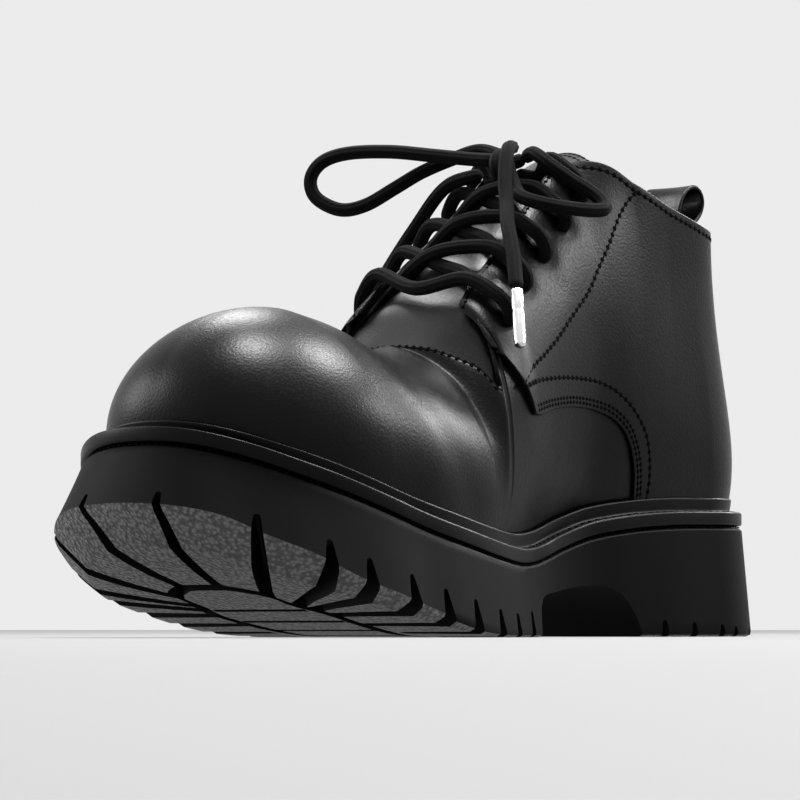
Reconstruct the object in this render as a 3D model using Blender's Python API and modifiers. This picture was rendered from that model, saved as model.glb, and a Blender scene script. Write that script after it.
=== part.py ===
"""Elevator derby shoe, right foot: a lofted leather upper on a thick lugged rubber sole.

Every table is in millimetres.  A station is the distance forward of the back of the heel,
so the toe is at the large stations.  The medial side is +X, the toe points to -Y, +Z is up
and the origin lies under the middle of the heel.
"""

from math import pi

import bmesh
import bpy
import numpy as np

MM = 0.001
GAP = 0.3
HEEL_CENTRE = 40.0
TOE_CENTRE = 233.0
COLLECTION = "elevator_derby_shoe"

# ---------------------------------------------------------------- driving tables (mm)

# Plan outline of the lip between the round heel and the round toe.
OUTLINE_COLUMNS = ("station", "medial", "lateral")
OUTLINE = (
    (40.0, 34.8, 37.8),
    (65.0, 34.6, 38.4),
    (90.0, 32.8, 40.0),
    (111.0, 30.6, 43.0),
    (131.0, 33.6, 48.0),
    (155.0, 43.2, 53.6),
    (181.0, 52.8, 57.6),
    (208.0, 58.2, 59.2),
    (233.0, 58.8, 59.2),
)

# Round ends of the outline: superellipses with their own centre, reach and squareness.
END_COLUMNS = ("middle", "reach", "power")
HEEL_END = (-1.5, 36.8, 2.2)
TOE_END = (0.0, 64.0, 2.2)

# Heights of the lip's top, of the tread and of the edge where the side wall meets it,
# with how far the side wall splays outwards from lip to edge.
LEVEL_COLUMNS = ("station", "lip", "tread", "edge", "splay", "ledge")
LEVELS = (
    (-8.0, 45.4, 0.0, 0.8, 3.2, 3.8),
    (40.0, 45.0, 0.0, 0.8, 3.0, 3.8),
    (67.0, 44.3, 0.0, 0.8, 2.8, 3.7),
    (90.0, 42.4, 0.0, 0.8, 2.2, 3.6),
    (104.0, 40.3, 0.0, 0.8, 2.0, 3.6),
    (120.0, 36.3, 0.0, 0.8, 2.0, 3.6),
    (140.0, 31.4, 0.0, 0.8, 2.6, 3.8),
    (158.0, 29.7, 0.0, 0.8, 3.4, 4.0),
    (180.0, 31.4, 0.0, 0.8, 4.2, 4.4),
    (200.0, 34.7, 1.2, 2.2, 4.8, 4.8),
    (218.0, 38.4, 4.0, 6.0, 5.4, 5.2),
    (239.0, 44.3, 8.5, 12.0, 6.2, 5.6),
    (261.0, 51.6, 14.3, 19.0, 7.2, 6.0),
    (273.0, 56.0, 18.5, 25.0, 8.0, 6.2),
    (287.0, 62.2, 25.0, 31.5, 8.6, 6.3),
    (297.0, 66.8, 30.5, 38.0, 8.8, 6.4),
    (308.0, 69.5, 36.0, 42.5, 9.0, 6.4),
)

LIP_HEIGHT = 5.4
RAND_HEIGHT = 5.0
RAND_WALL = 1.2
INSOLE_THICKNESS = 3.0

# Columns of the upper, from the back of the heel (0) round one side to the toe tip (3).
# Each is a cubic from the feather up to the rim: it leaves the feather by the bulge and
# rise, and meets the rim from the reach outwards and the drop below.
UPPER_COLUMNS = ("along", "rim_half", "rim_station", "rim_height",
                 "bulge_medial", "bulge_lateral", "rise", "reach", "drop")
COLLAR = (
    (0.00, 0.0, 21.0, 146.0, 3.5, 3.5, 26.0, 0.5, 48.0),
    (0.50, 21.5, 29.0, 147.0, 4.5, 4.5, 26.0, 0.0, 48.0),
    (1.00, 31.0, 50.0, 151.0, 7.0, 5.5, 28.0, 0.0, 46.0),
    (1.114, 31.0, 63.0, 154.5, 9.0, 6.0, 30.0, 0.5, 46.0),
    (1.228, 29.0, 79.0, 161.0, 12.5, 6.0, 32.0, 3.0, 40.0),
    (1.311, 21.5, 94.0, 168.0, 15.0, 5.0, 34.0, 10.0, 22.0),
    (1.352, 13.5, 105.0, 167.0, 17.0, 5.0, 36.0, 17.0, 8.0),
)
THROAT = (
    (1.352, 13.5, 105.0, 167.0, 17.0, 5.0, 36.0, 17.0, 8.0),
    (1.404, 14.5, 118.0, 154.5, 17.5, 5.0, 36.0, 18.0, 6.0),
    (1.466, 16.0, 130.0, 143.0, 17.0, 5.0, 35.0, 19.0, 6.0),
    (1.544, 18.5, 146.0, 129.5, 14.5, 5.0, 33.0, 20.0, 6.0),
    (1.606, 20.5, 157.0, 120.0, 12.0, 5.0, 33.0, 20.0, 6.0),
    (1.648, 22.0, 165.0, 111.5, 10.5, 5.0, 33.0, 18.0, 4.0),
)
VAMP_EDGE = (
    (1.648, 22.0, 165.0, 111.5, 10.5, 5.0, 33.0, 18.0, 4.0),
    (1.651, 30.2, 165.6, 105.0, 8.4, 4.4, 28.0, 12.0, 9.0),
    (1.655, 35.7, 166.2, 98.0, 6.6, 3.9, 21.5, 9.5, 13.5),
    (1.659, 39.5, 166.8, 91.0, 5.9, 3.7, 18.5, 6.6, 14.5),
    (1.662, 41.4, 167.2, 86.5, 5.7, 3.6, 17.5, 5.0, 13.0),
    (1.680, 33.0, 171.5, 91.5, 6.2, 4.4, 19.0, 15.5, 11.5),
    (1.695, 18.0, 175.3, 97.0, 8.0, 5.2, 25.0, 22.0, 5.0),
    (1.710, 0.0, 177.5, 99.0, 9.0, 5.6, 30.0, 32.0, 0.0),
)
RIDGE = (
    (1.710, 0.0, 177.5, 99.0, 9.0, 5.6, 30.0, 32.0, 0.0),
    (1.777, 0.0, 190.0, 95.8, 8.0, 6.0, 31.0, 31.0, 0.0),
    (1.855, 0.0, 207.0, 99.0, 7.5, 6.0, 32.0, 30.0, 0.0),
    (1.933, 0.0, 224.0, 105.0, 7.0, 5.0, 32.0, 30.0, 0.0),
    (2.000, 0.0, 240.0, 108.0, 6.5, 4.5, 31.0, 30.0, 0.0),
)
TOE_CAP = (
    (2.00, 0.0, 240.0, 108.0, 6.5, 4.5, 31.0, 30.0, 0.0),
    (2.50, 0.0, 240.0, 108.0, 4.5, 2.0, 26.0, 28.0, 0.0),
    (3.00, 0.0, 240.0, 108.0, 2.5, 2.5, 22.0, 27.0, 0.0),
)
RIM_MIDDLE = -1.0
LATERAL_REACH = 0.78
TOE_REACH = 0.9
WALL = 2.0

# Lower edge of the quarter, which laps over the vamp, as a height at each place.
LAP_COLUMNS = ("along", "height")
LAP_EDGE = (
    (1.231, 57.3),
    (1.249, 64.9),
    (1.273, 71.2),
    (1.308, 75.8),
    (1.350, 78.2),
    (1.424, 79.0),
    (1.500, 77.4),
    (1.562, 74.8),
    (1.577, 75.2),
    (1.595, 80.0),
    (1.613, 85.3),
    (1.630, 89.6),
    (1.645, 93.4),
    (1.656, 97.0),
)
LAP = 1.2
LAP_BACK = 1.228
LAP_FRONT = 1.656
HIGHEST_LAP = 0.97
LAP_STEP = 0.012

# Spans of columns: table, first and last place along, steps between.
SPANS = (
    (COLLAR, 0.0, 1.225, 8),
    (COLLAR, 1.225, 1.231, 1),
    (COLLAR, 1.231, 1.352, 4),
    (THROAT, 1.352, 1.562, 6),
    (THROAT, 1.562, 1.648, 4),
    (VAMP_EDGE, 1.648, 1.662, 2),
    (VAMP_EDGE, 1.662, 1.710, 5),
    (RIDGE, 1.710, 2.0, 5),
    (TOE_CAP, 2.0, 3.0, 7),
)
ROWS_BELOW = 4
ROWS_ABOVE = 6

# Tongue: height of its middle, half width and how far its edges drop, per station.
TONGUE_COLUMNS = ("station", "crown", "half", "drop_medial", "drop_lateral", "power")
TONGUE = (
    (84.0, 174.0, 7.0, 1.0, 1.0, 2.2),
    (86.0, 173.3, 13.5, 4.0, 4.0, 2.2),
    (90.0, 172.0, 18.5, 9.0, 9.0, 2.2),
    (96.0, 169.6, 21.3, 14.0, 13.5, 2.2),
    (105.0, 164.6, 23.0, 18.0, 18.0, 2.2),
    (118.0, 154.8, 24.8, 20.0, 20.0, 2.2),
    (130.0, 144.2, 26.2, 20.0, 20.0, 2.3),
    (142.0, 133.2, 27.8, 19.5, 19.5, 2.5),
    (150.0, 126.0, 29.6, 19.5, 19.5, 2.9),
    (158.0, 118.3, 32.8, 16.5, 16.0, 3.4),
    (165.0, 110.4, 39.2, 26.8, 22.2, 4.0),
    (170.5, 100.7, 40.8, 27.3, 23.2, 3.0),
    (176.0, 93.4, 39.0, 25.5, 23.5, 2.9),
    (182.0, 91.6, 36.5, 22.0, 20.5, 2.6),
    (190.0, 90.9, 33.5, 16.0, 15.0, 2.4),
)
TONGUE_STEPS = 12

# Pull loop: a strap sewn inside the back of the collar, as a profile (station, height)
# round its opening, and the sewn tail below it.
LOOP_WIDTH = 21.0
LOOP_THICK = 1.6
LOOP_CURVE = 0.0175
LOOP_PROFILE = (
    (24.6, 149.5),
    (22.6, 150.8),
    (18.5, 152.6),
    (14.0, 156.5),
    (12.3, 161.5),
    (14.6, 165.6),
    (19.0, 166.2),
    (23.6, 163.2),
    (26.8, 157.0),
    (26.6, 151.5),
)
LOOP_TAIL = (25.3, 118.0, 150.2)

# Eyelets: place along the side and share of the column, lowest pair first.
EYELET_COLUMNS = ("medial", "lateral", "share")
EYELETS = (
    (1.603, 1.578, 0.70),
    (1.524, 1.518, 0.745),
    (1.457, 1.457, 0.75),
    (1.391, 1.391, 0.755),
    (1.345, 1.345, 0.79),
)
LACE_RADIUS = 2.5
LACE_CLEAR = 0.5
# A run crosses the facing's edge and its middle this far ahead of its eyelet.
EDGE_AHEAD = 0.015
MIDDLE_AHEAD = 0.008
START_AHEAD = 0.018
EDGE_LIFT = 0.2
MIDDLE_LIFT = 0.3
# A strand starts this far inside the throat, and one strand passes over the other.
START_INSIDE = 1.6
START_LIFT = 0.6
OVER_LIFT = 2.2
BAR_LIFT = 2.5
TOP_START = (8.0, 108.5)
TOP_LIFT = 1.0

# Bow: a knot ring over the tongue, two loops and two ends, as points (x, station, height).
KNOT_STATION = 113.5
KNOT_ABOVE = 8.3
KNOT_RADIUS = 4.7
KNOT_PITCH = 5.4
KNOT_TURN = 0.83
LOOP_LATERAL = (
    (-3.6, 118.5, 168.0),
    (-14.0, 120.5, 169.3),
    (-27.0, 124.8, 171.2),
    (-42.0, 130.8, 173.3),
    (-57.0, 136.7, 173.5),
    (-66.3, 140.5, 170.8),
    (-70.6, 142.2, 164.8),
    (-68.6, 141.4, 157.9),
    (-59.9, 138.0, 153.2),
    (-50.8, 134.3, 154.5),
    (-41.5, 129.0, 160.3),
    (-33.4, 124.0, 165.7),
    (-25.0, 117.5, 170.2),
    (-15.0, 113.5, 173.0),
    (-4.2, 112.8, 170.0),
)
LOOP_MEDIAL = (
    (6.0, 112.8, 168.5),
    (12.5, 116.0, 169.5),
    (20.0, 116.5, 165.0),
    (27.0, 112.0, 159.0),
    (32.5, 108.6, 154.8),
    (37.5, 108.0, 150.6),
    (40.4, 111.5, 148.0),
    (39.5, 116.8, 147.2),
    (37.0, 122.7, 147.4),
    (33.0, 129.5, 148.2),
    (24.5, 134.0, 150.8),
    (15.5, 129.0, 155.0),
    (8.5, 125.4, 164.5),
    (6.4, 121.5, 164.6),
)
END_LATERAL = (
    (-5.3, 123.0, 163.0),
    (-19.0, 127.0, 159.0),
    (-33.0, 128.0, 145.0),
    (-40.5, 134.0, 130.0),
    (-43.0, 142.0, 116.0),
)
END_MEDIAL = (
    (5.6, 118.8, 172.0),
    (10.5, 127.8, 169.5),
    (14.5, 134.0, 159.0),
    (19.0, 138.5, 150.0),
    (26.0, 146.0, 141.0),
    (34.0, 152.5, 129.5),
    (40.5, 158.5, 117.0),
)
AGLET_LENGTH = 22.0
AGLET_RADIUS = 2.1
# Aglet with its two crimps, as (distance along it, share of its radius).
AGLET_SHAPE = ((0.0, 0.8), (0.6, 1.0), (7.0, 1.0), (8.0, 0.86), (9.0, 1.0), (19.5, 1.0),
               (20.4, 0.86), (21.3, 0.96), (AGLET_LENGTH, 0.7))
AGLET_LATERAL = (-47.0, 152.5, 96.0)
AGLET_MEDIAL = (48.2, 165.5, 96.0)


# ---------------------------------------------------------------- small maths

def smooth(table, column, at):
    """Catmull-Rom value of one column of a table, keyed by its first column."""
    rows = np.asarray(table, dtype=float)
    key = rows[:, 0]
    value = rows[:, column]
    at = np.clip(np.asarray(at, dtype=float), key[0], key[-1])
    slope = np.gradient(value, key)
    i = np.clip(np.searchsorted(key, at, side="right") - 1, 0, len(key) - 2)
    span = key[i + 1] - key[i]
    t = (at - key[i]) / span
    h00 = 2 * t**3 - 3 * t**2 + 1
    h10 = t**3 - 2 * t**2 + t
    h01 = -2 * t**3 + 3 * t**2
    h11 = t**3 - t**2
    return (h00 * value[i] + h10 * span * slope[i]
            + h01 * value[i + 1] + h11 * span * slope[i + 1])


def column(names, name):
    """Index of a named column."""
    return names.index(name)


def level(name, station):
    """Height or splay of the sole at a station, never below the ground."""
    return np.maximum(smooth(LEVELS, column(LEVEL_COLUMNS, name), station), 0.0)


def half_width(side, station):
    """Lip's half width on one side (+1 medial, -1 lateral)."""
    name = "medial" if side > 0 else "lateral"
    return smooth(OUTLINE, column(OUTLINE_COLUMNS, name), station)


def outline(side, along, inset):
    """Plan point (x, station) of the lip moved inwards by the inset.

    along runs 0 to 1 round the heel, 1 to 2 up the side and 2 to 3 round the toe.
    """
    along = np.asarray(along, dtype=float)
    heel_middle, heel_reach, heel_power = HEEL_END
    toe_middle, toe_reach, toe_power = TOE_END
    station = HEEL_CENTRE + (along - 1.0) * (TOE_CENTRE - HEEL_CENTRE)
    x = side * (half_width(side, station) - inset)
    turn = np.clip(along, 0.0, 1.0) * pi / 2
    reach_x = half_width(side, HEEL_CENTRE) + side * -heel_middle - inset
    heel_x = heel_middle + side * reach_x * np.sin(turn) ** (2 / heel_power)
    heel_s = HEEL_CENTRE - (heel_reach - inset) * np.cos(turn).clip(0) ** (2 / heel_power)
    x = np.where(along < 1.0, heel_x, x)
    station = np.where(along < 1.0, heel_s, station)
    turn = np.clip(along - 2.0, 0.0, 1.0) * pi / 2
    reach_x = half_width(side, TOE_CENTRE) + side * -toe_middle - inset
    toe_x = toe_middle + side * reach_x * np.cos(turn).clip(0) ** (2 / toe_power)
    toe_s = TOE_CENTRE + (toe_reach - inset) * np.sin(turn) ** (2 / toe_power)
    x = np.where(along > 2.0, toe_x, x)
    station = np.where(along > 2.0, toe_s, station)
    return x, station


# ---------------------------------------------------------------- mesh helpers

def world(x, station, z):
    """World position in metres of a point given in the shoe's own millimetres."""
    return (x * MM, (HEEL_CENTRE - station) * MM, z * MM)


def grid_faces(rows, columns, closed):
    """Quads of a grid whose points run row after row; closed joins last column to first."""
    faces = []
    steps = columns if closed else columns - 1
    for r in range(rows - 1):
        for c in range(steps):
            d = (c + 1) % columns
            faces.append((r * columns + c, r * columns + d,
                          (r + 1) * columns + d, (r + 1) * columns + c))
    return faces


def mesh_object(name, points, faces, material, collection):
    """Object from points in metres, doubles merged and faces turned outwards."""
    mesh = bpy.data.meshes.new(name)
    mesh.from_pydata([tuple(p) for p in points], [], faces)
    bm = bmesh.new()
    bm.from_mesh(mesh)
    bmesh.ops.remove_doubles(bm, verts=bm.verts, dist=0.00001)
    bmesh.ops.dissolve_degenerate(bm, edges=bm.edges, dist=0.000005)
    bmesh.ops.recalc_face_normals(bm, faces=bm.faces)
    bm.to_mesh(mesh)
    bm.free()
    mesh.shade_smooth()
    if material is not None:
        mesh.materials.append(material)
    obj = bpy.data.objects.new(name, mesh)
    collection.objects.link(obj)
    return obj


def principled(name, colour, roughness, metallic=0.0):
    """Principled material."""
    material = bpy.data.materials.new(name)
    material.use_nodes = True
    shader = material.node_tree.nodes["Principled BSDF"]
    shader.inputs["Base Color"].default_value = (*colour, 1.0)
    shader.inputs["Roughness"].default_value = roughness
    shader.inputs["Metallic"].default_value = metallic
    return material


def boolean(target, cutter, operation):
    """Exact boolean of a target by a cutter that is kept as a guide."""
    modifier = target.modifiers.new(operation.lower() + "_" + cutter.name, "BOOLEAN")
    modifier.operation = operation
    modifier.solver = "EXACT"
    modifier.object = cutter
    cutter.hide_render = True
    cutter.display_type = "WIRE"


# ---------------------------------------------------------------- sole, midsole, insole

def ring_places(heel_steps=7, side_steps=15, toe_steps=8):
    """Sides and places along them for one closed ring, medial side first."""
    heel = np.linspace(0.0, 1.0, heel_steps + 1)
    side = np.linspace(1.0, 2.0, side_steps + 1)
    toe = np.linspace(2.0, 3.0, toe_steps + 1)
    places = np.concatenate([heel, side[1:], toe[1:]])
    return places


def inset_outline(side, along, inset):
    """Plan point of the lip moved inwards by inset(station)."""
    return outline(side, along, inset(outline(side, along, 0.0)[1]))


def feather_inset(station):
    """From the lip's edge to the outer face of the upper's foot."""
    return level("ledge", station) + RAND_WALL + 1.8 * GAP


def ring(inset, height, places):
    """Closed ring of points at an inset, each at height(station)."""
    points = []
    for side in (1, -1):
        own = places if side > 0 else places[1:-1][::-1]
        x, station = inset_outline(side, own, inset)
        points += zip(x, station, height(station))
    return points


def centre_line(station):
    """Middle of the sole under a station, clipped to the straight part."""
    own = np.clip(station, HEEL_CENTRE, TOE_CENTRE)
    return (half_width(1, own) - half_width(-1, own)) / 2, own


def shrunk(ring_points, share, height):
    """Ring drawn in towards the centre line, keeping to height(station)."""
    points = []
    for x, station, _ in ring_points:
        middle, own = centre_line(station)
        s = own + share * (station - own)
        points.append((middle + share * (x - middle), s, height(s)))
    return points


def plate(name, rings, top, bottom, material, collection, shares=(0.7, 0.35, 0.0)):
    """Closed body from rings listed top to bottom, filled in to the centre line."""
    upper_fill = [shrunk(rings[0], share, top) for share in reversed(shares)]
    lower_fill = [shrunk(rings[-1], share, bottom) for share in shares]
    rows = upper_fill + rings + lower_fill
    points = [world(*p) for row in rows for p in row]
    faces = grid_faces(len(rows), len(rings[0]), closed=True)
    return mesh_object(name, points, faces, material, collection)


def lip(station, above=0.0):
    """Lip's top, or a height above it."""
    return level("lip", station) + above


def make_outsole(material, collection, cutters):
    """Rubber unit: side wall, tread with toe spring, arch tunnel, heel block and notches."""
    places = ring_places()

    def top(s):
        return lip(s, -LIP_HEIGHT - 1.5 * GAP)

    def splay(share):
        return lambda s: -share * level("splay", s)

    def bevel(s):
        return -level("splay", s) + 0.8 + 1.5 * (level("edge", s) - level("tread", s))

    def mid_wall(s):
        return 0.5 * (top(s) + level("edge", s))

    rings = [
        ring(lambda s: 1.2 + 0 * s, top, places),
        ring(lambda s: 0.4 + 0 * s, lambda s: top(s) - 0.9, places),
        ring(splay(0.5), mid_wall, places),
        ring(splay(1.0), lambda s: level("edge", s), places),
        ring(bevel, lambda s: level("tread", s), places),
    ]
    sole = plate("outsole", rings, top, lambda s: level("tread", s), material, collection)
    boolean(sole, arch_cutter(cutters), "DIFFERENCE")
    boolean(sole, notch_cutter(cutters), "DIFFERENCE")
    return sole


# Ceiling of the arch tunnel, from the heel breast forward to the tread's back wall.
ARCH_COLUMNS = ("station", "height")
ARCH = (
    (84.0, -3.0),
    (84.4, 0.0),
    (86.5, 5.5),
    (89.6, 10.5),
    (93.5, 14.6),
    (98.5, 16.9),
    (106.0, 17.9),
    (116.0, 17.3),
    (130.0, 15.5),
    (144.5, 12.8),
    (148.6, 3.0),
    (149.0, -3.0),
)


def arch_cutter(cutters):
    """Prism that runs right across the sole under the arch."""
    reach = 75.0
    points = [world(side * reach, s, z) for side in (-1, 1) for s, z in ARCH]
    count = len(ARCH)
    faces = [(i, i + 1, count + i + 1, count + i) for i in range(count - 1)]
    faces += [(count - 1, 0, count, 2 * count - 1)]
    faces += [tuple(reversed(range(count))), tuple(range(count, 2 * count))]
    return mesh_object("arch_cutter", points, faces, None, cutters)


# Notches up the side wall, each running inwards as a tread groove.
NOTCH_COLUMNS = ("along", "apex_above_tread", "length", "width", "depth")
NOTCHES = (
    (0.13, 3.6, 12.0, 4.2, 3.0),
    (0.40, 3.6, 12.0, 4.2, 3.0),
    (0.66, 3.6, 12.0, 4.2, 3.0),
    (0.90, 4.0, 13.0, 4.6, 3.2),
    (1.006, 4.7, 14.0, 5.2, 3.6),
    (1.090, 5.7, 15.0, 6.6, 4.0),
    (1.172, 6.5, 15.0, 6.0, 4.4),
    (1.612, 9.6, 16.0, 4.6, 5.0),
    (1.688, 8.6, 20.0, 5.0, 5.4),
    (1.760, 9.6, 24.0, 5.4, 5.6),
    (1.844, 11.5, 27.0, 6.0, 5.8),
    (1.929, 12.0, 29.0, 6.4, 6.0),
    (2.020, 13.0, 31.0, 6.8, 6.2),
    (2.175, 14.0, 33.0, 7.2, 6.4),
    (2.310, 16.0, 34.0, 7.4, 6.6),
    (2.540, 17.0, 35.0, 7.6, 6.8),
    (2.860, 17.5, 35.0, 7.6, 6.8),
)
NOTCH_TIP_WIDTH = 1.6


def wedge(outer, inner, along_wall, outer_top, inner_top, width, below):
    """Eight corners of a groove: wide below, narrow at its top, lower at its inner end."""
    points = []
    for end, top in ((outer, outer_top), (inner, inner_top)):
        for z, half in ((below, width / 2), (top, NOTCH_TIP_WIDTH / 2)):
            for way in (-1, 1):
                x = end[0] + way * half * along_wall[0]
                s = end[1] + way * half * along_wall[1]
                points.append(world(x, s, z))
    faces = [(0, 1, 3, 2), (4, 6, 7, 5), (0, 4, 5, 1), (2, 3, 7, 6), (0, 2, 6, 4), (1, 5, 7, 3)]
    return points, faces


def notch_cutter(cutters):
    """Every side notch and tread groove as one set of separate wedges."""
    points = []
    faces = []

    def add(shape):
        base = len(points)
        points.extend(shape[0])
        faces.extend(tuple(base + i for i in face) for face in shape[1])

    for side in (1, -1):
        for along, apex, length, width, depth in NOTCHES:
            x, s = outline(side, np.array([along]), 0.0)
            middle, own = centre_line(s)
            inward = np.array([middle[0] - x[0], own[0] - s[0]])
            inward = inward / np.linalg.norm(inward)
            foot = np.array([x[0], s[0]])
            outer = foot - inward * 12.0
            inner = foot + inward * length
            tangent = (-inward[1], inward[0])
            low = float(level("tread", s)[0])
            inner_low = float(level("tread", np.array([inner[1]]))[0])
            slope = (apex - depth) / (12.0 + length)
            add(wedge(outer, inner, tangent, low + apex + 6.0 * slope, inner_low + depth,
                      width, min(low, inner_low) - 14.0))
    return mesh_object("notch_cutter", points, faces, None, cutters)


def make_midsole(material, collection):
    """Welt lip with its stitching ledge and the rand strip that holds the upper's foot."""
    places = ring_places()

    def at(inset, above):
        return ring(lambda s: inset + 0 * s, lambda s: lip(s, above), places)

    def rand(inset, above):
        return ring(lambda s: level("ledge", s) + inset, lambda s: lip(s, above), places)

    rings = [
        rand(RAND_WALL + 2.5, 0.0),
        rand(RAND_WALL, 0.0),
        rand(RAND_WALL, RAND_HEIGHT - 0.5),
        rand(0.5, RAND_HEIGHT),
        rand(0.0, RAND_HEIGHT - 0.8),
        rand(0.2, 0.4),
        at(0.5, 0.0),
        at(0.0, -0.6),
        at(0.0, -LIP_HEIGHT + 0.8),
        at(0.8, -LIP_HEIGHT),
    ]
    return plate("welt_midsole", rings, lip, lambda s: lip(s, -LIP_HEIGHT), material, collection)


def make_insole(material, collection):
    """Plate inside the upper, standing on the midsole."""
    places = ring_places(6, 12, 6)

    def at(inset, above):
        return ring(lambda s: feather_inset(s) + WALL + 1.0 + inset,
                    lambda s: lip(s, above), places)

    low = 2 * GAP
    high = low + INSOLE_THICKNESS
    rings = [at(0.5, high), at(0.0, high - 0.6), at(0.0, low)]
    return plate("insole", rings, lambda s: lip(s, high), lambda s: lip(s, low),
                 material, collection)


# ---------------------------------------------------------------- upper

def cubic(p0, p1, p2, p3, t):
    """Point of a cubic from its four control points."""
    t = np.asarray(t)[:, None]
    return ((1 - t)**3 * p0 + 3 * (1 - t)**2 * t * p1
            + 3 * (1 - t) * t**2 * p2 + t**3 * p3)


def upper_controls(side, along, table):
    """Four control points (x, station, z) of one column of the upper."""
    def value(name):
        return float(smooth(table, column(UPPER_COLUMNS, name), along))

    x, s = inset_outline(side, np.array([along]), feather_inset)
    middle, own = centre_line(s)
    outward = np.array([x[0] - middle[0], s[0] - own[0], 0.0])
    outward = outward / np.linalg.norm(outward)
    foot = np.array([x[0], s[0], float(lip(s[0], RAND_HEIGHT + 0.2))])
    rim = np.array([RIM_MIDDLE + side * value("rim_half"),
                    value("rim_station"), value("rim_height")])
    bulge = value("bulge_medial" if side > 0 else "bulge_lateral")
    lower = foot + outward * bulge + np.array([0, 0, value("rise")])
    full = 1.0 if side > 0 else LATERAL_REACH
    reach = value("reach") * (full + (TOE_REACH - full) * min(max(along - 2.0, 0.0), 1.0))
    upper = rim + outward * reach - np.array([0, 0, value("drop")])
    return foot, lower, upper, rim


def lap_share(controls, along):
    """Share of the column at which the quarter's lower edge lies."""
    height = smooth(LAP_EDGE, column(LAP_COLUMNS, "height"), along)
    shares = np.linspace(0.0, HIGHEST_LAP, 98)
    return float(np.interp(height, cubic(*controls, shares)[:, 2], shares))


def column_shares(controls, along):
    """Shares down one column, with a close pair of rows at the lap edge."""
    edge = lap_share(controls, along)
    below = np.linspace(0.0, edge, ROWS_BELOW + 1)
    above = np.linspace(edge + LAP_STEP, 1.0, ROWS_ABOVE + 1)
    return np.concatenate([below, above])


def upper_column(side, along, table):
    """Points of one column, base point first, before the lap is raised."""
    controls = upper_controls(side, along, table)
    foot = controls[0]
    points = cubic(*controls, column_shares(controls, along))
    base = foot.copy()
    base[2] = float(lip(foot[1], 2 * GAP))
    return np.vstack([base, points])


def skin(side, along, share, above):
    """Point above the quarter's face, along its normal."""
    table = THROAT if along > THROAT[0][0] else COLLAR
    here = cubic(*upper_controls(side, along, table), [share])[0]
    higher = cubic(*upper_controls(side, along, table), [share - 0.02])[0]
    ahead = cubic(*upper_controls(side, along + 0.004, table), [share])[0]
    normal = side * np.cross(ahead - here, here - higher)
    return here + (LAP + above) * normal / np.linalg.norm(normal)


def lap_heights(along):
    """How far each point of a column is raised: the quarter lies over the vamp."""
    below = LAP if along < LAP_BACK else 0.0
    above = LAP if along < LAP_FRONT - 0.0005 else 0.0
    return np.array([0.0] + [below] * (ROWS_BELOW + 1) + [above] * (ROWS_ABOVE + 1))


def upper_places():
    """Side, place and table of every column once round the feather, medial side first."""
    one_side = [(0.0, COLLAR)]
    for table, first, last, steps in SPANS:
        one_side += [(a, table) for a in np.linspace(first, last, steps + 1)[1:]]
    medial = [(1, a, table) for a, table in one_side]
    lateral = [(-1, a, table) for a, table in one_side[1:-1]]
    return medial + lateral[::-1]


def grid_normals(points):
    """Unit normals of a grid closed across its columns, pointing outwards."""
    around = np.roll(points, -1, axis=1) - np.roll(points, 1, axis=1)
    up = np.gradient(points, axis=0)
    normal = np.cross(around, up)
    length = np.linalg.norm(normal, axis=2, keepdims=True)
    return normal / np.maximum(length, 1e-9)


def upper_grid():
    """Outer surface of the upper as rows by columns of (x, station, z)."""
    places = upper_places()
    points = np.stack([upper_column(*place) for place in places], axis=1)
    heights = np.stack([lap_heights(place[1]) for place in places], axis=1)
    heights[1] *= 0.0
    normal = grid_normals(points)
    return points + normal * heights[:, :, None]


def make_upper(material, collection):
    """Hollow leather upper: open at the collar, at the throat and underneath."""
    points = upper_grid()
    rows, columns = points.shape[:2]
    flat = [world(*p) for p in points.reshape(-1, 3)]
    upper = mesh_object("upper", flat, grid_faces(rows, columns, True), material, collection)
    shell = upper.modifiers.new("wall", "SOLIDIFY")
    shell.thickness = WALL * MM
    shell.offset = -1.0
    return upper


# ---------------------------------------------------------------- tongue and pull loop

def tongue_height(x, station):
    """Height of the tongue's face."""
    def value(name):
        return smooth(TONGUE, column(TONGUE_COLUMNS, name), station)

    drop = np.where(np.asarray(x) > 0, value("drop_medial"), value("drop_lateral"))
    return value("crown") - drop * np.abs(x / value("half")) ** value("power")


def tongue_point(x, station, above):
    """Point above the tongue's face, along its normal."""
    z = float(tongue_height(x, station))
    across = float(tongue_height(x + 0.5, station) - tongue_height(x - 0.5, station))
    along = float(tongue_height(x, station + 0.5) - tongue_height(x, station - 0.5))
    normal = np.array([-across, -along, 1.0])
    return np.array([x, station, z]) + above * normal / np.linalg.norm(normal)


def make_tongue(material, collection):
    """Curved leather tongue with a rounded top."""
    stations = [row[0] for row in TONGUE]
    points = []
    for station in stations:
        half = float(smooth(TONGUE, column(TONGUE_COLUMNS, "half"), station))
        for share in np.sin(np.linspace(-pi / 2, pi / 2, TONGUE_STEPS + 1)):
            x = share * half
            points.append(world(x, station, float(tongue_height(x, station))))
    faces = grid_faces(len(stations), TONGUE_STEPS + 1, closed=False)
    tongue = mesh_object("tongue", points, faces, material, collection)
    shell = tongue.modifiers.new("wall", "SOLIDIFY")
    shell.thickness = WALL * MM
    shell.offset = -1.0
    return tongue


def strap_columns():
    """Offsets across the pull loop's strap."""
    return np.linspace(-LOOP_WIDTH / 2, LOOP_WIDTH / 2, 5)


def bent(x, station, z):
    """World point of the strap, curved with the back of the collar."""
    return world(RIM_MIDDLE + x, station + LOOP_CURVE * x * x, z)


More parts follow.
